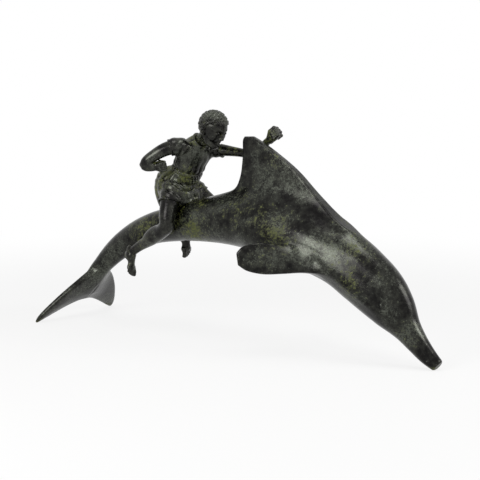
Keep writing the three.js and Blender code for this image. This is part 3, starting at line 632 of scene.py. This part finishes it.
TUNIC_SECTIONS = [  # from hem to collar: x and z of the middle, half width, half depth, turn in degrees
    (-73, 130, 21, 19.5, 0), (-75.5, 140, 22, 22, 0), (-78, 151, 21, 22.5, 0), (-72, 159, 17, 16, 4),
    (-66, 165, 15, 12, 8), (-61.5, 174, 17, 12.5, 15), (-57, 183, 19, 12.5, 20),
    (-53, 190.5, 15.5, 10.5, 20), (-50, 195, 9.5, 8, 20),
]
BELT_Z = 165
CORD_SPACING, CORD_RADIUS, CORD_TWIST = 1.45, 1.6, 0.22  # of the belt's two cords
COLLAR_FOOT, COLLAR_TOP = 10.4, 8.2  # its radii
SLEEVE_CLOTH, SLEEVE_WAVE, HEM_WAVE, EDGE_ROLL = 1.3, 0.3, 0.45, 0.35
# Limbs: a place and the radius there
RIGHT_ARM = [(-54, -10, 189, 4.5), (-61, -18, 191.5, 7.2), (-71, -26.5, 188.5, 6.8),
             (-80, -33, 182.5, 5.9), (-87, -37, 176.5, 5.2), (-90, -38.3, 172, 3.6)]
RIGHT_FOREARM = [(-92, -38.5, 172, 3.4), (-87.5, -36.5, 171.5, 4.9), (-82.5, -33.8, 171, 4.4),
                 (-78, -31.2, 171.2, 3.4), (-75, -29.5, 171.5, 3.2)]
LEFT_ARM = [(-55, 9, 187, 4.5), (-48, 16, 187, 7), (-37, 21, 186, 5.9), (-22, 22.5, 185, 4.6),
            (-8, 23, 184, 4.2), (1, 23, 185, 4.7), (8, 23, 189.5, 4.4), (15, 22.5, 196, 3.7),
            (21, 22, 201, 3.3)]
RIGHT_LEG = [(-73, -12, 150, 10), (-71, -20, 138, 9.6), (-69, -26.5, 124, 8.6), (-69, -28, 114, 7.8),
             (-77, -26.5, 107, 7.3), (-92, -23.5, 98, 6.6), (-109, -22, 89, 5), (-121, -22, 81, 4)]
LEFT_LEG = [(-73, 12, 150, 10), (-67, 20, 141, 9.4), (-58, 26.5, 131, 8.6), (-51.5, 29.5, 123.5, 7.8),
            (-57, 28, 117, 7.3), (-67, 25, 110, 6.6), (-79, 22.5, 103, 5), (-88, 22, 98, 4)]
LIMB_SAMPLES, KNEE_SAMPLE = 36, 15
FOOT_SIZE = {-1: (1, 1, 1), 1: (1, 1.2, 1.4)}  # of the right and the left foot
ARM_CUT = 20  # from a limb's start to the edge of the cloth over it
LEG_CUT = 15
ENTRY = 3  # how far a limb goes on inside the cloth
SLIP = 0.1  # room round a limb inside the cloth
TIGHT = 0.1  # fillet where two castings meet
HEAD_AT = np.array([-33, 0, 208.5])
HEAD_TURN, HEAD_BOW = math.radians(-6), math.radians(22)
COLLAR_AT = np.array([-50, 0, 195])


def limb_line(rows, across):
    return Loft([(place, (radius,) * 3, 0) for *place, radius in rows], across, LIMB_SAMPLES)


tunic_line = Loft([((x, 0, z), (wide, deep, deep), -turn) for x, z, wide, deep, turn in TUNIC_SECTIONS],
                  (0, -1, 0), 46)
BELT_RUN = np.interp(BELT_Z, tunic_line.path[:, 2], tunic_line.run)
right_arm, right_forearm, left_arm = (
    limb_line(rows, (0, 0, 1)) for rows in (RIGHT_ARM, RIGHT_FOREARM, LEFT_ARM))
right_leg, left_leg = (limb_line(rows, (1, 0, 0)) for rows in (RIGHT_LEG, LEFT_LEG))


def cut_plane(line, distance):
    """The place and direction of a path where it is a distance away from its start."""
    i = int(np.argmax(length(line.path - line.path[0]) >= distance))
    return line.path[i], line.along[i]


def entering(p, form, at, out, fillet=0.3):
    """A limb, or the room for it, that ends a little way inside the cloth."""
    return common(form, -((p - at) @ out) - ENTRY, fillet)


def pleats(angle, sway):
    """Round ridges with narrow valleys between them."""
    return np.sqrt(np.cos(angle + sway) ** 2 + 0.02) - 0.6


def fold_relief(from_belt, angle):
    """Cloth that is gathered at the belt, hangs below it and blouses over it."""
    below = np.clip(-from_belt / 30, 0, 1)
    skirt = (0.55 + 1.5 * below) * pleats(5 * angle, 0.8 * np.sin(3 * angle) + 0.05 * from_belt)
    gathers = 0.9 * np.exp(-((from_belt - 6) / 9) ** 2) + 0.3
    chest = gathers * pleats(7 * angle, 0.9 * np.sin(2 * angle + 1) - 0.06 * from_belt)
    blouse = 1.2 * np.exp(-((from_belt - 6.5) / 3.5) ** 2)
    return np.where(from_belt < 0, skirt, chest + blouse)


def tunic(p, back):
    """The tunic's body with its cord belt. back is the distance from the dolphin."""
    run, side, up, sizes = tunic_line.locate(p)
    shell = ellipse_distance(np.stack([side, up], 1), sizes[:, :2])
    angle = np.arctan2(up / sizes[:, 1], side / sizes[:, 0])
    from_belt = run - BELT_RUN
    cloth = shell - fold_relief(from_belt, angle) - 0.8 * np.exp(-(back / 1.6) ** 2)
    cloth = common(cloth, np.maximum(-run, run - tunic_line.run[-1]), 2)
    twist = CORD_TWIST * np.cos(30 * angle + 1.6 * from_belt)
    for level in (-CORD_SPACING, CORD_SPACING):
        cloth = union(cloth, np.hypot(from_belt - level, shell - 0.7) - CORD_RADIUS - twist, 0.3)
    return cloth


neck_ahead = unit(HEAD_AT - COLLAR_AT)
collar_top = COLLAR_AT + 3 * neck_ahead


def neck(p):
    column = round_cone(p, collar_top - ENTRY * neck_ahead, HEAD_AT, 6.7, 6.1)
    for side in (-1, 1):
        tendon = round_cone(p, collar_top + [3.5, side * 3, -3], HEAD_AT + [-6, side * 8, -5], 1.9, 1.7)
        column = union(column, tendon, 2)
    return column


def collar(p):
    cone = round_cone(p, collar_top - 9 * neck_ahead, collar_top, COLLAR_FOOT, COLLAR_TOP)
    q = p - collar_top
    along = q @ neck_ahead
    ring = np.hypot(along + 0.9, length(q - along[:, None] * neck_ahead) - 8) - 1.35
    return union(cone, ring, 0.5)


def sleeves(p):
    """For each limb, the cloth over it and the room that it takes inside the cloth."""
    for line, distance, wave in ((right_arm, ARM_CUT, SLEEVE_WAVE), (left_arm, ARM_CUT, SLEEVE_WAVE),
                                 (right_leg, LEG_CUT, HEM_WAVE), (left_leg, LEG_CUT, HEM_WAVE)):
        at, out = cut_plane(line, distance)
        edge = (p - at) @ out
        roll = EDGE_ROLL * smooth_step(-2.2, -1.6, edge)

        def wrinkles(run, angle):
            return SLEEVE_CLOTH + wave * np.cos(2 * angle + 0.8 * run) + roll

        located = line.locate(p)
        cloth = common(line.skin(located, wrinkles), edge, 0.5)
        yield cloth, entering(p, line.skin(located) - SLIP, at, out, TIGHT)


def torso(p):
    back = dolphin_back(p)
    whole = union(tunic(p, back), collar(p), 2)
    rooms = []
    for cloth, room in sleeves(p):
        whole = union(whole, cloth, 4.5)
        rooms.append(room)
    for room in rooms:
        whole = carve(whole, room, TIGHT)
    whole = common(whole, (p - collar_top) @ neck_ahead, 0.8)
    room = entering(p, neck(p) - SLIP, collar_top, neck_ahead, TIGHT)
    return carve(carve(whole, room, TIGHT), back + SLIP, TIGHT)


FINGERS = ((-0.62, -0.07), (-0.21, 0.02), (0.21, 0.04), (0.62, -0.03))  # place along the knuckles, reach


def fist(p, at, along, knuckles, size):
    """A closed hand, with four curled fingers and a thumb over them."""
    ahead = unit(along)
    row = unit(knuckles - (knuckles @ ahead) * ahead)
    q = (p - at) @ np.array([ahead, row, np.cross(ahead, row)]).T / size
    wrist = round_cone(q, (-1, 0, 0), (-0.3, 0, 0.02), 0.5, 0.56)
    hand = union(wrist, ellipsoid(q, (0.2, 0, 0), (0.85, 0.84, 0.5)), 0.3)
    for r, shift in FINGERS:
        places = [(-0.9, r / 2, 0.1), (0.1 + shift, r, 0.32), (0.85 + shift, r, 0.2), (0.72 + shift, r, -0.5),
                  (0.05, 0.9 * r, -0.42)]
        hand = union(hand, rope(q, places, [0.34, 0.33, 0.26, 0.24, 0.22], 0.06), 0.05)
    thumb = rope(q, [(-0.7, 0.5, -0.1), (-0.1, 0.75, -0.45), (0.35, 0.5, -0.8), (0.6, 0.05, -0.85)],
                 [0.34, 0.3, 0.27, 0.23], 0.06)
    return union(hand, thumb, 0.05) * size


TOES = ((-3.7, 1.9, 22.2), (-1.2, 1.35, 22.4), (0.9, 1.3, 21.6), (2.8, 1.25, 20.4), (4.5, 1.15, 18.8))


def foot(p, ankle, side):
    """A foot that hangs with its toes down and its instep forwards. side is -1 for the right foot."""
    ahead = unit((0.2, side * 0.12, -1))
    across = unit(np.array([0, side, 0]) - side * ahead[1] * ahead)  # away from the dolphin
    instep = np.cross(ahead, across) * side
    q = (p - ankle) @ np.array([ahead, across, instep]).T / FOOT_SIZE[side]
    heel = ellipsoid(q, (2.2, 0, -3.6), (4.8, 3.9, 4))
    whole = union(heel, round_cone(q, (-4, 0, 0), (2, 0, 0.3), 3.9, 4.2), 3)
    bridge = round_cone(q * [1, 0.86, 1], (3, 0, 0.4), (15, 0.2, -0.6), 4, 2.7)
    ball = ellipsoid(q, (15, 0.2, -1.2), (4.6, 5.3, 2.7))
    arch = ellipsoid(q, (8.6, -2.6, -5.4), (5.2, 3, 2.6))
    whole = carve(union(union(whole, bridge, 3), ball, 2), arch, 2.5)
    for place, radius, reach in TOES:
        toe = rope(q, [(14.5, 0.85 * place, -0.6), (reach - 2.6, place, -0.5), (reach, place, -1.3)],
                   [radius, 0.92 * radius, radius], 0.3)
        whole = union(whole, toe, 0.45)
    for bone, height in ((-3.5, 0.2), (3.5, -0.4)):
        whole = union(whole, ellipsoid(q, (-1.6, bone, height), (1.8, 1.3, 1.7)), 1.2)
    return whole


def leg(p, line, side):
    """A bare leg. side is -1 for the right leg."""
    knee, ankle = line.path[KNEE_SAMPLE], line.path[-1]
    shin = unit(ankle - knee)
    rearwards = np.array([-1.0, 0, 0.9])
    behind = unit(rearwards - (rearwards @ shin) * shin)
    axes = np.array([shin, behind, np.cross(shin, behind)])
    reach = length(ankle - knee)
    calf = ellipsoid(p, knee + 0.36 * reach * shin + 1.4 * behind, (0.24 * reach, 6.4, 5.6), axes)
    kneecap = ellipsoid(p, knee - 5.2 * behind + 1.5 * shin + [0, side, 0], (4.4, 2.6, 3.6), axes)
    bone = round_cone(p, knee + 0.2 * reach * shin - 4.6 * behind, ankle - 2.2 * behind, 2, 1.5)
    limb = union(union(union(line(p), calf, 3), kneecap, 2), bone, 2)
    limb = union(limb, foot(p, ankle, side), 1.5)
    limb = entering(p, limb, *cut_plane(line, LEG_CUT))
    return carve(limb, dolphin_back(p) + SLIP, TIGHT)


def arm_right(p):
    elbow = ellipsoid(p, (-91.5, -38.6, 173), (2.4, 2.2, 2.6))
    limb = union(union(right_arm(p), right_forearm(p), 1.6), elbow, 1.5)
    limb = union(limb, fist(p, (-75, -29.5, 171.5), (6, 3.4, 0.4), (1, -3, 8), 5.6), 0.8)
    return entering(p, limb, *cut_plane(right_arm, ARM_CUT))


def arm_left(p):
    limb = union(left_arm(p), fist(p, (24.5, 21.5, 203.5), (5, -0.6, 5), (-4, 1, 5), 7.2), 0.8)
    return entering(p, limb, *cut_plane(left_arm, ARM_CUT))


# Head, in its own frame: x out of the face, y to the left, z to the crown

def turned(angle, i, j):
    """A turn from axis i towards axis j."""
    axes = np.eye(3)
    axes[i, i] = axes[j, j] = math.cos(angle)
    axes[j, i] = math.sin(angle)
    axes[i, j] = -axes[j, i]
    return axes


HAIR_CENTRE, HAIR_RADII = np.array([-0.6, 0, 3.6]), np.array([14.9, 13.4, 14.1])
CURLS, CURL_RADIUS, CURL_HEIGHT, GROOVE = 150, 2.5, 1.1, 0.26
head_axes = turned(HEAD_TURN, 0, 1) @ turned(HEAD_BOW, 2, 0)


def curl_centres():
    """Directions spread evenly round the head on a spiral."""
    count = np.arange(CURLS)
    level = 1 - (2 * count + 1) / CURLS
    turn = count * math.pi * (3 - math.sqrt(5))
    ring = np.sqrt(1 - level ** 2)
    return np.stack([ring * np.cos(turn), ring * np.sin(turn), level], 1)


def curl_relief(q):
    """Close curls: low domes, each with a groove that winds round it."""
    u = unit((q - HAIR_CENTRE) / HAIR_RADII)
    centres = curl_centres()
    best = np.full(len(u), 9.0)
    winner = np.zeros(len(u), int)
    for i, centre in enumerate(centres):
        gap = 1 - u @ centre
        closer = gap < best
        best[closer], winner[closer] = gap[closer], i
    reach = np.sqrt(2 * best) * HAIR_RADII.mean()
    chosen = centres[winner]
    east = unit(np.cross(chosen, np.array([0.3, 0.2, 1.0])))
    north = np.cross(chosen, east)
    offset = u - chosen
    bearing = np.arctan2(dots(offset, north), dots(offset, east))
    winding = bearing * np.where(winner % 2, 1, -1) + 3.4 * reach + winner
    dome = CURL_HEIGHT * (1 - (reach / CURL_RADIUS) ** 2)
    return np.maximum(dome, -0.5) + GROOVE * smooth_step(0.3, 1, reach) * np.cos(winding)


def hair(q):
    shell = ellipse_distance(q - HAIR_CENTRE, HAIR_RADII) - curl_relief(q)
    front = 8.6 - q[:, 2] + 0.12 * (q[:, 0] - 8)
    behind = np.maximum(q[:, 0] - 1.6 - 0.12 * q[:, 2], -10.5 - q[:, 2])
    region = union(front, behind, 3)
    folded = q * [1, 0, 1] + np.abs(q) * [0, 1, 0]
    round_ear = ellipsoid(folded, (0.2, 13, -4.2), (3.4, 5, 4.6))
    return common(shell, carve(region, round_ear, 1), 1)


EYE = np.array([10.7, 4.5, 0.1])
EAR_AXES = turned(0.2, 2, 0)
FACE_FORMS = [
    (union, 4, ellipsoid, (2.8, 0, -6.5), (9.5, 8.7, 11)),  # lower face
    (union, 2.5, rope, [(-1, 8.4, -7.5), (3, 6.8, -12), (8.2, 2, -14.8)], [2.6, 2.5, 2.6], 2),  # jaw
    (union, 2.5, ellipsoid, (7.6, 5.6, -4.4), (4.2, 3.7, 4)),  # cheek
    (union, 2, ellipsoid, (8.8, 0, -14.6), (3.2, 3.8, 2.8)),  # chin
    (carve, 1.8, ellipsoid, (14.2, 4.5, 0.2), (3.2, 3.4, 2.3)),  # eye's hollow
    (union, 1.4, rope, [(13.2, 1.2, 2.8), (12.4, 4.6, 3.9), (9.8, 8.2, 3)], [0.9, 0.9, 0.8], 0.8),  # brow
    (union, 1.6, rope, [(13, 0, 2.8), (14.2, 0, -1), (15.3, 0, -4.3)], [1.1, 1.2, 1.5], 1),  # nose
    (union, 0.8, ellipsoid, (13.4, 1.8, -4.9), (1.6, 1.1, 1.15)),  # its wing
    (carve, 0.3, ellipsoid, (14.5, 0.95, -6.1), (0.7, 0.5, 0.7)),  # nostril
    (union, 0.3, ellipsoid, EYE, (2.3, 2.7, 1.9)),
]
LIPS = [  # upper, lower, and the line between them
    (union, 0.5, rope, [(12.1, 0, -9.15), (12, 1.2, -8.95), (10.7, 3.2, -9.7)], [0.85, 0.9, 0.45], 0.5),
    (union, 0.5, rope, [(11.8, 0, -10.9), (11.5, 1.4, -10.8), (10.4, 2.9, -10.2)], [1.1, 0.95, 0.5], 0.5),
    (carve, 0.35, rope, [(13.1, 0, -9.95), (12.4, 1.5, -9.85), (10.9, 3.5, -9.95)], [0.28, 0.26, 0.24], 0.2),
]
EAR_FORMS = [
    (carve, 0.5, ellipsoid, (-0.9, 13.5, -2.6), (1.7, 1, 3), EAR_AXES),
    (union, 0.5, ellipsoid, (-1.2, 12.9, -3.2), (0.7, 0.6, 1.4), EAR_AXES),
]


def face(q):
    """Half a face, folded over its middle plane: calm, with lowered lids and closed lips."""
    q = q.copy()
    q[:, 1] = np.abs(q[:, 1])
    skin = modelled(q, ellipsoid(q, (0, 0, 3), (14.3, 12.6, 13.6)), FACE_FORMS)
    beside, over = q[:, 1] - EYE[1], q[:, 2]
    upper = common(ellipsoid(q, EYE, (2.75, 3.1, 2.3)), -0.35 - over - 0.05 * beside ** 2, 0.25)
    lower = common(ellipsoid(q, EYE, (2.6, 3, 2.15)), over + 0.95 - 0.03 * beside ** 2, 0.25)
    skin = modelled(q, union(union(skin, upper, 0.2), lower, 0.3), LIPS)
    ear = modelled(q, ellipsoid(q, (-1.2, 12.3, -3), (2.7, 1.5, 4.3), EAR_AXES), EAR_FORMS)
    return union(skin, ear, 0.6)


def head(p):
    q = (p - HEAD_AT) @ head_axes
    return entering(p, union(union(face(q), neck(p), 3), hair(q), 0.5), collar_top, neck_ahead)


ROOM = 5  # round a casting's CAD box, for what stands out of it


def cast(name, field, step):
    """The mesh of one casting of the rider."""
    low, high = (np.array(corner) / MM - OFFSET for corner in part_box(name))
    return new_mesh(name + "_cast", *zero_surface(field, low - ROOM, high + ROOM, step))


RIDER_CASTINGS = {  # the field and the mesh's step
    "rider_torso": (torso, 0.65),
    "rider_head": (head, 0.42),
    "rider_arm_right": (arm_right, 0.42),
    "rider_arm_left": (arm_left, 0.45),
    "rider_leg_right": (lambda p: leg(p, right_leg, -1), 0.55),
    "rider_leg_left": (lambda p: leg(p, left_leg, 1), 0.55),
}


# Materials

DARK_METAL, LIGHT_METAL = (0.008, 0.0075, 0.0075), (0.038, 0.039, 0.033)
# The second colour is painted shade: near black, laid into the hollows that ambient occlusion finds.
FLECK_COLOUR, HOLLOW_SHADE_COLOUR = (0.076, 0.083, 0.066, 1), (0.006, 0.006, 0.005, 1)
DARK_CRUST, LIGHT_CRUST = (0.026, 0.031, 0.009, 1), (0.092, 0.102, 0.022, 1)
WORN_COLOUR = (0.1, 0.1, 0.09, 1)
# The rider's bronze is the same bronze painted 1.35 times lighter: painted light, standing in for light that
# its surfaces don't catch.
BRONZES = [("bronze_dolphin", 1, 1), ("bronze_rider", 1, 1.35), ("bronze_pin", 0.6, 1)]  # green, lightness
CLOUD_SIZE, MOTTLE_SIZE, VEIN_SIZE, SPECKLE_SIZE = 30, 6, 5, 2.1
HOLLOW_REACH = 8
BUMP_HEIGHT = 0.5
GREEN_PATCHES = [  # a place, how far verdigris reaches from it and how thick it is
    # Dolphin: right flank, fins, head and left flank
    (60, -27, 116, 24, 0.75), (40, -24, 130, 20, 0.5), (10, -24, 140, 26, 0.55),
    (-26, -20, 114, 16, 0.5), (-43, -19, 108, 19, 1.0), (-40, -14, 138, 14, 0.8),
    (-90, -17, 114, 16, 0.6), (-111, -14, 104, 20, 0.9), (45, -6, 185, 16, 0.5),
    (62, -45, 95, 16, 0.5), (138, -12, 104, 26, 0.5), (142, -26, 78, 16, 0.7),
    (196, -8, 34, 14, 0.4), (110, 20, 123, 26, 0.5), (62, 27, 115, 26, 0.8),
    (-45, 19, 109, 19, 0.8), (-111, 14, 104, 20, 0.7),
    # Rider: seat, hips, collar, arms and legs
    (-57, -8, 153, 15, 0.8), (-60, 12, 153, 15, 0.7), (-86, -15, 149, 18, 1.0),
    (-82, -10, 166, 15, 1.25), (-55, -14, 158, 13, 1.2), (-52, -8, 199, 12, 0.8),
    (-42, 0, 194, 10, 0.9), (-30, 20, 187, 14, 0.6), (-20, 22, 187, 12, 0.7),
    (17, 20, 200, 14, 0.9), (-92, -33, 171, 12, 0.4), (-121, -25, 81, 16, 0.5),
    (-103, -30, 100, 12, 0.6),
]


def node(tree, kind, inputs=None, **settings):
    """Adds a shader node. Each input is a value or another node's output."""
    made = tree.nodes.new("ShaderNode" + kind)
    for key, value in settings.items():
        setattr(made, key, value)
    give(tree, made, inputs or {})
    return made


def give(tree, made, inputs):
    for key, value in inputs.items():
        if isinstance(value, bpy.types.NodeSocket):
            tree.links.new(value, made.inputs[key])
        else:
            made.inputs[key].default_value = value


def calculate(tree, operation, a, b=0.0, clamp=False):
    return node(tree, "Math", {0: a, 1: b}, operation=operation, use_clamp=clamp).outputs[0]


def times(tree, a, b):
    return calculate(tree, "MULTIPLY", a, b)


def most(tree, a, b):
    return calculate(tree, "MAXIMUM", a, b)


def weighted(tree, *terms):
    """The sum of pairs of a socket and its weight."""
    total = 0.0
    for value, weight in terms:
        total = node(tree, "Math", {0: value, 1: weight, 2: total}, operation="MULTIPLY_ADD").outputs[0]
    return total


def between(tree, value, low, high, at_low=0.0, at_high=1.0, kind="SMOOTHSTEP"):
    """at_low where the value is low, and at_high where it is high."""
    limits = {"Value": value, "From Min": low, "From Max": high, "To Min": at_low, "To Max": at_high}
    return node(tree, "MapRange", limits, interpolation_type=kind).outputs["Result"]


def blend(tree, factor, a, b):
    """Colour a where the factor is 0 and b where it is 1."""
    return node(tree, "Mix", {0: factor, 6: a, 7: b}, data_type="RGBA").outputs[2]


def noise(tree, place, size, detail, roughness):
    """Noise whose lumps are about size millimetres across."""
    inputs = {"Vector": place, "Scale": 1 / size, "Detail": detail, "Roughness": roughness}
    return node(tree, "TexNoise", inputs).outputs[0]


def patina_place(tree, place):
    """How much verdigris the patches give at a place."""
    total = 0.0
    for *centre, reach, strength in GREEN_PATCHES:
        gap = node(tree, "VectorMath", {0: place, 1: centre}, operation="DISTANCE").outputs["Value"]
        total = most(tree, total, between(tree, gap, reach * 1.5, 0.0, 0.0, strength, "LINEAR"))
    return total


def flecks(tree, place, cloudy, speckle):
    """Pale specks and thin veins in the lighter clouds."""
    bloom = weighted(tree, (speckle, 0.6), (cloudy, 0.4))
    off_middle = calculate(tree, "SUBTRACT", noise(tree, place, VEIN_SIZE, 4, 0.6), 0.5)
    vein = between(tree, calculate(tree, "ABSOLUTE", off_middle), 0.025, 0.0)
    vein = times(tree, vein, between(tree, cloudy, 0.45, 0.58))
    return most(tree, between(tree, bloom, 0.53, 0.59), times(tree, vein, 0.9))


def new_material(name):
    material = bpy.data.materials.new(name)
    material.use_nodes = True
    return material, material.node_tree


def bronze_material(name, green, lightness):
    """Dark patinated bronze, mottled and flecked, with verdigris in patches and hollows, and painted shade
    darkening the hollows.
    """
    material, tree = new_material(name)
    to_design = {0: node(tree, "TexCoord").outputs["Object"], 1: (1 / MM,) * 3, 2: tuple(-OFFSET)}
    place = node(tree, "VectorMath", to_design, operation="MULTIPLY_ADD").outputs["Vector"]
    cloudy = noise(tree, place, CLOUD_SIZE, 3, 0.55)
    mottle = noise(tree, place, MOTTLE_SIZE, 5, 0.6)
    speckle = noise(tree, place, SPECKLE_SIZE, 5, 0.72)
    fleck = flecks(tree, place, cloudy, speckle)
    # The hollows that ambient occlusion finds gather verdigris, a real patina, and are also darkened with
    # painted shade.
    shade = node(tree, "AmbientOcclusion", {"Distance": HOLLOW_REACH * MM}, samples=6).outputs["AO"]
    hollow = between(tree, shade, 0.85, 0.35)
    gathered = most(tree, patina_place(tree, place), times(tree, hollow, 0.7))
    gathered = weighted(tree, (gathered, 0.24), (mottle, 0.45), (speckle, 0.55))
    verdigris = times(tree, between(tree, gathered, 0.59, 0.76), green)
    sharpness = node(tree, "NewGeometry").outputs["Pointiness"]
    worn = times(tree, between(tree, sharpness, 0.53, 0.62), between(tree, mottle, 0.35, 0.6))

    tone = weighted(tree, (mottle, 0.5), (cloudy, 0.5))
    # A lightness above 1 paints light into the colour.
    dark, light = (tuple(lightness * v for v in colour) + (1,) for colour in (DARK_METAL, LIGHT_METAL))
    colour = blend(tree, between(tree, tone, 0.36, 0.64), dark, light)
    crust = blend(tree, between(tree, speckle, 0.38, 0.66), DARK_CRUST, LIGHT_CRUST)
    # Over the metal's tone go pale flecks, painted shade in the hollows, verdigris and wear on sharp edges.
    for factor, strength, over in ((fleck, 0.85, FLECK_COLOUR), (hollow, 0.8, HOLLOW_SHADE_COLOUR),
                                   (verdigris, 1.0, crust), (worn, 0.5, WORN_COLOUR)):
        colour = blend(tree, times(tree, factor, strength), colour, over)
    bare = weighted(tree, (verdigris, -0.75), (fleck, -0.2))
    rough = weighted(tree, (mottle, 0.3), (verdigris, 0.3), (fleck, 0.08))
    surface = weighted(tree, (mottle, 0.6), (speckle, 0.2), (verdigris, 0.15))
    bump = node(tree, "Bump", {"Height": surface, "Strength": 0.25, "Distance": BUMP_HEIGHT * MM})

    give(tree, tree.nodes["Principled BSDF"], {
        "Base Color": colour,
        "Metallic": calculate(tree, "ADD", bare, 0.85, clamp=True),
        "Roughness": calculate(tree, "ADD", rough, 0.09, clamp=True),
        "Specular IOR Level": 0.35,
        "Normal": bump.outputs["Normal"],
    })
    return material


# Studio

FLOOR_SIZE = 10  # metres
FLOOR_WHITE = 0.8  # share of the floor near the object that is plain white
FLOOR_NEAR, FLOOR_FAR = 0.25, 0.8  # metres from the object between which the share grows to 1
HORIZON_LIGHT, OVERHEAD_LIGHT = 0.8, 0.2
LAMPS = [  # name, place, target, side, power in watts
    ("key", (-60, -850, 460), (0, 0, 110), 420, 3.8),
    ("top", (200, -120, 880), (0, 0, 130), 350, 2),
    ("right", (900, 300, 500), (60, 0, 110), 400, 4),
]
CAMERA_AZIMUTH, CAMERA_ELEVATION = math.radians(36.6), math.radians(8.4)
CAMERA_DISTANCE = 1500
CAMERA_TARGET = np.array([-0.2, 0.0, 98.9 + FLOOR_Z])
LENS = 115.71


def seen_rays(tree):
    """1 for rays that show the background: the camera's, and those in gloss and glass."""
    path = node(tree, "LightPath").outputs
    return most(tree, most(tree, path["Is Camera Ray"], path["Is Glossy Ray"]), path["Is Transmission Ray"])


def make_floor():
    """A wide floor, white to the camera and in reflections apart from the object's soft shadow."""
    bpy.ops.mesh.primitive_plane_add(size=FLOOR_SIZE, location=(0, 0, 0))
    floor = bpy.context.object
    floor.name = "floor"
    material, tree = new_material("floor")
    shader = tree.nodes["Principled BSDF"]
    give(tree, shader, {"Base Color": (0.86, 0.86, 0.85, 1), "Roughness": 0.7})
    white = node(tree, "Emission", {"Color": (1, 1, 1, 1), "Strength": 1.0}).outputs[0]
    place = node(tree, "TexCoord").outputs["Object"]
    radius = node(tree, "VectorMath", {0: place}, operation="LENGTH").outputs["Value"]
    share = times(tree, between(tree, radius, FLOOR_NEAR, FLOOR_FAR, FLOOR_WHITE), seen_rays(tree))
    mixed = node(tree, "MixShader", {0: share, 1: shader.outputs[0], 2: white}).outputs[0]
    give(tree, tree.nodes["Material Output"], {"Surface": mixed})
    floor.data.materials.append(material)


def make_world():
    """White to the camera and in reflections. As a light, pale at the horizon and dimmer overhead."""
    world = bpy.data.worlds.new("studio")
    bpy.context.scene.world = world
    world.use_nodes = True
    tree = world.node_tree
    height = node(tree, "SeparateXYZ", {0: node(tree, "TexCoord").outputs["Generated"]}).outputs["Z"]
    room = between(tree, height, 0.0, 0.7, HORIZON_LIGHT, OVERHEAD_LIGHT, "LINEAR")
    strength = most(tree, seen_rays(tree), room)
    give(tree, tree.nodes["Background"], {"Color": (1, 1, 1, 1), "Strength": strength})


def soft_light(name, place, target, side, power):
    """A square soft box, placed and aimed in the design's frame."""
    data = bpy.data.lights.new(name, "AREA")
    data.shape = "SQUARE"
    data.size = side * MM
    data.energy = power
    light = new_object(name, data)
    light.location = (place + OFFSET) * MM
    aim = Vector(np.array(target, float) - np.array(place, float))
    light.rotation_euler = aim.to_track_quat("-Z", "Y").to_euler()


def make_camera():
    a, e = CAMERA_AZIMUTH, CAMERA_ELEVATION
    back = np.array([math.sin(a) * math.cos(e), -math.cos(a) * math.cos(e), math.sin(e)])
    data = bpy.data.cameras.new("camera")
    data.lens = LENS
    camera = new_object("camera", data)
    camera.location = (CAMERA_TARGET + OFFSET + CAMERA_DISTANCE * back) * MM
    camera.rotation_euler = (math.pi / 2 - e, 0, a)
    bpy.context.scene.camera = camera


# Scene

bronze = {name: bronze_material(name, green, lightness) for name, green, lightness in BRONZES}
for name, part in dolphin_castings().items():
    mesh = bpy.data.meshes.new(name + "_cast")
    part.to_mesh(mesh)
    add_piece(name, mesh, "bronze_dolphin")
for name, (field, step) in RIDER_CASTINGS.items():
    add_piece(name, cast(name, field, step), "bronze_rider")
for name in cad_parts:
    if "_pin" in name or "dowel" in name:
        carried = bpy.data.objects[name].data.materials
        carried.clear()
        carried.append(bronze["bronze_pin"])

make_camera()
make_world()
make_floor()
for lamp in LAMPS:
    soft_light(*lamp)
bpy.context.scene.view_settings.view_transform = "Standard"
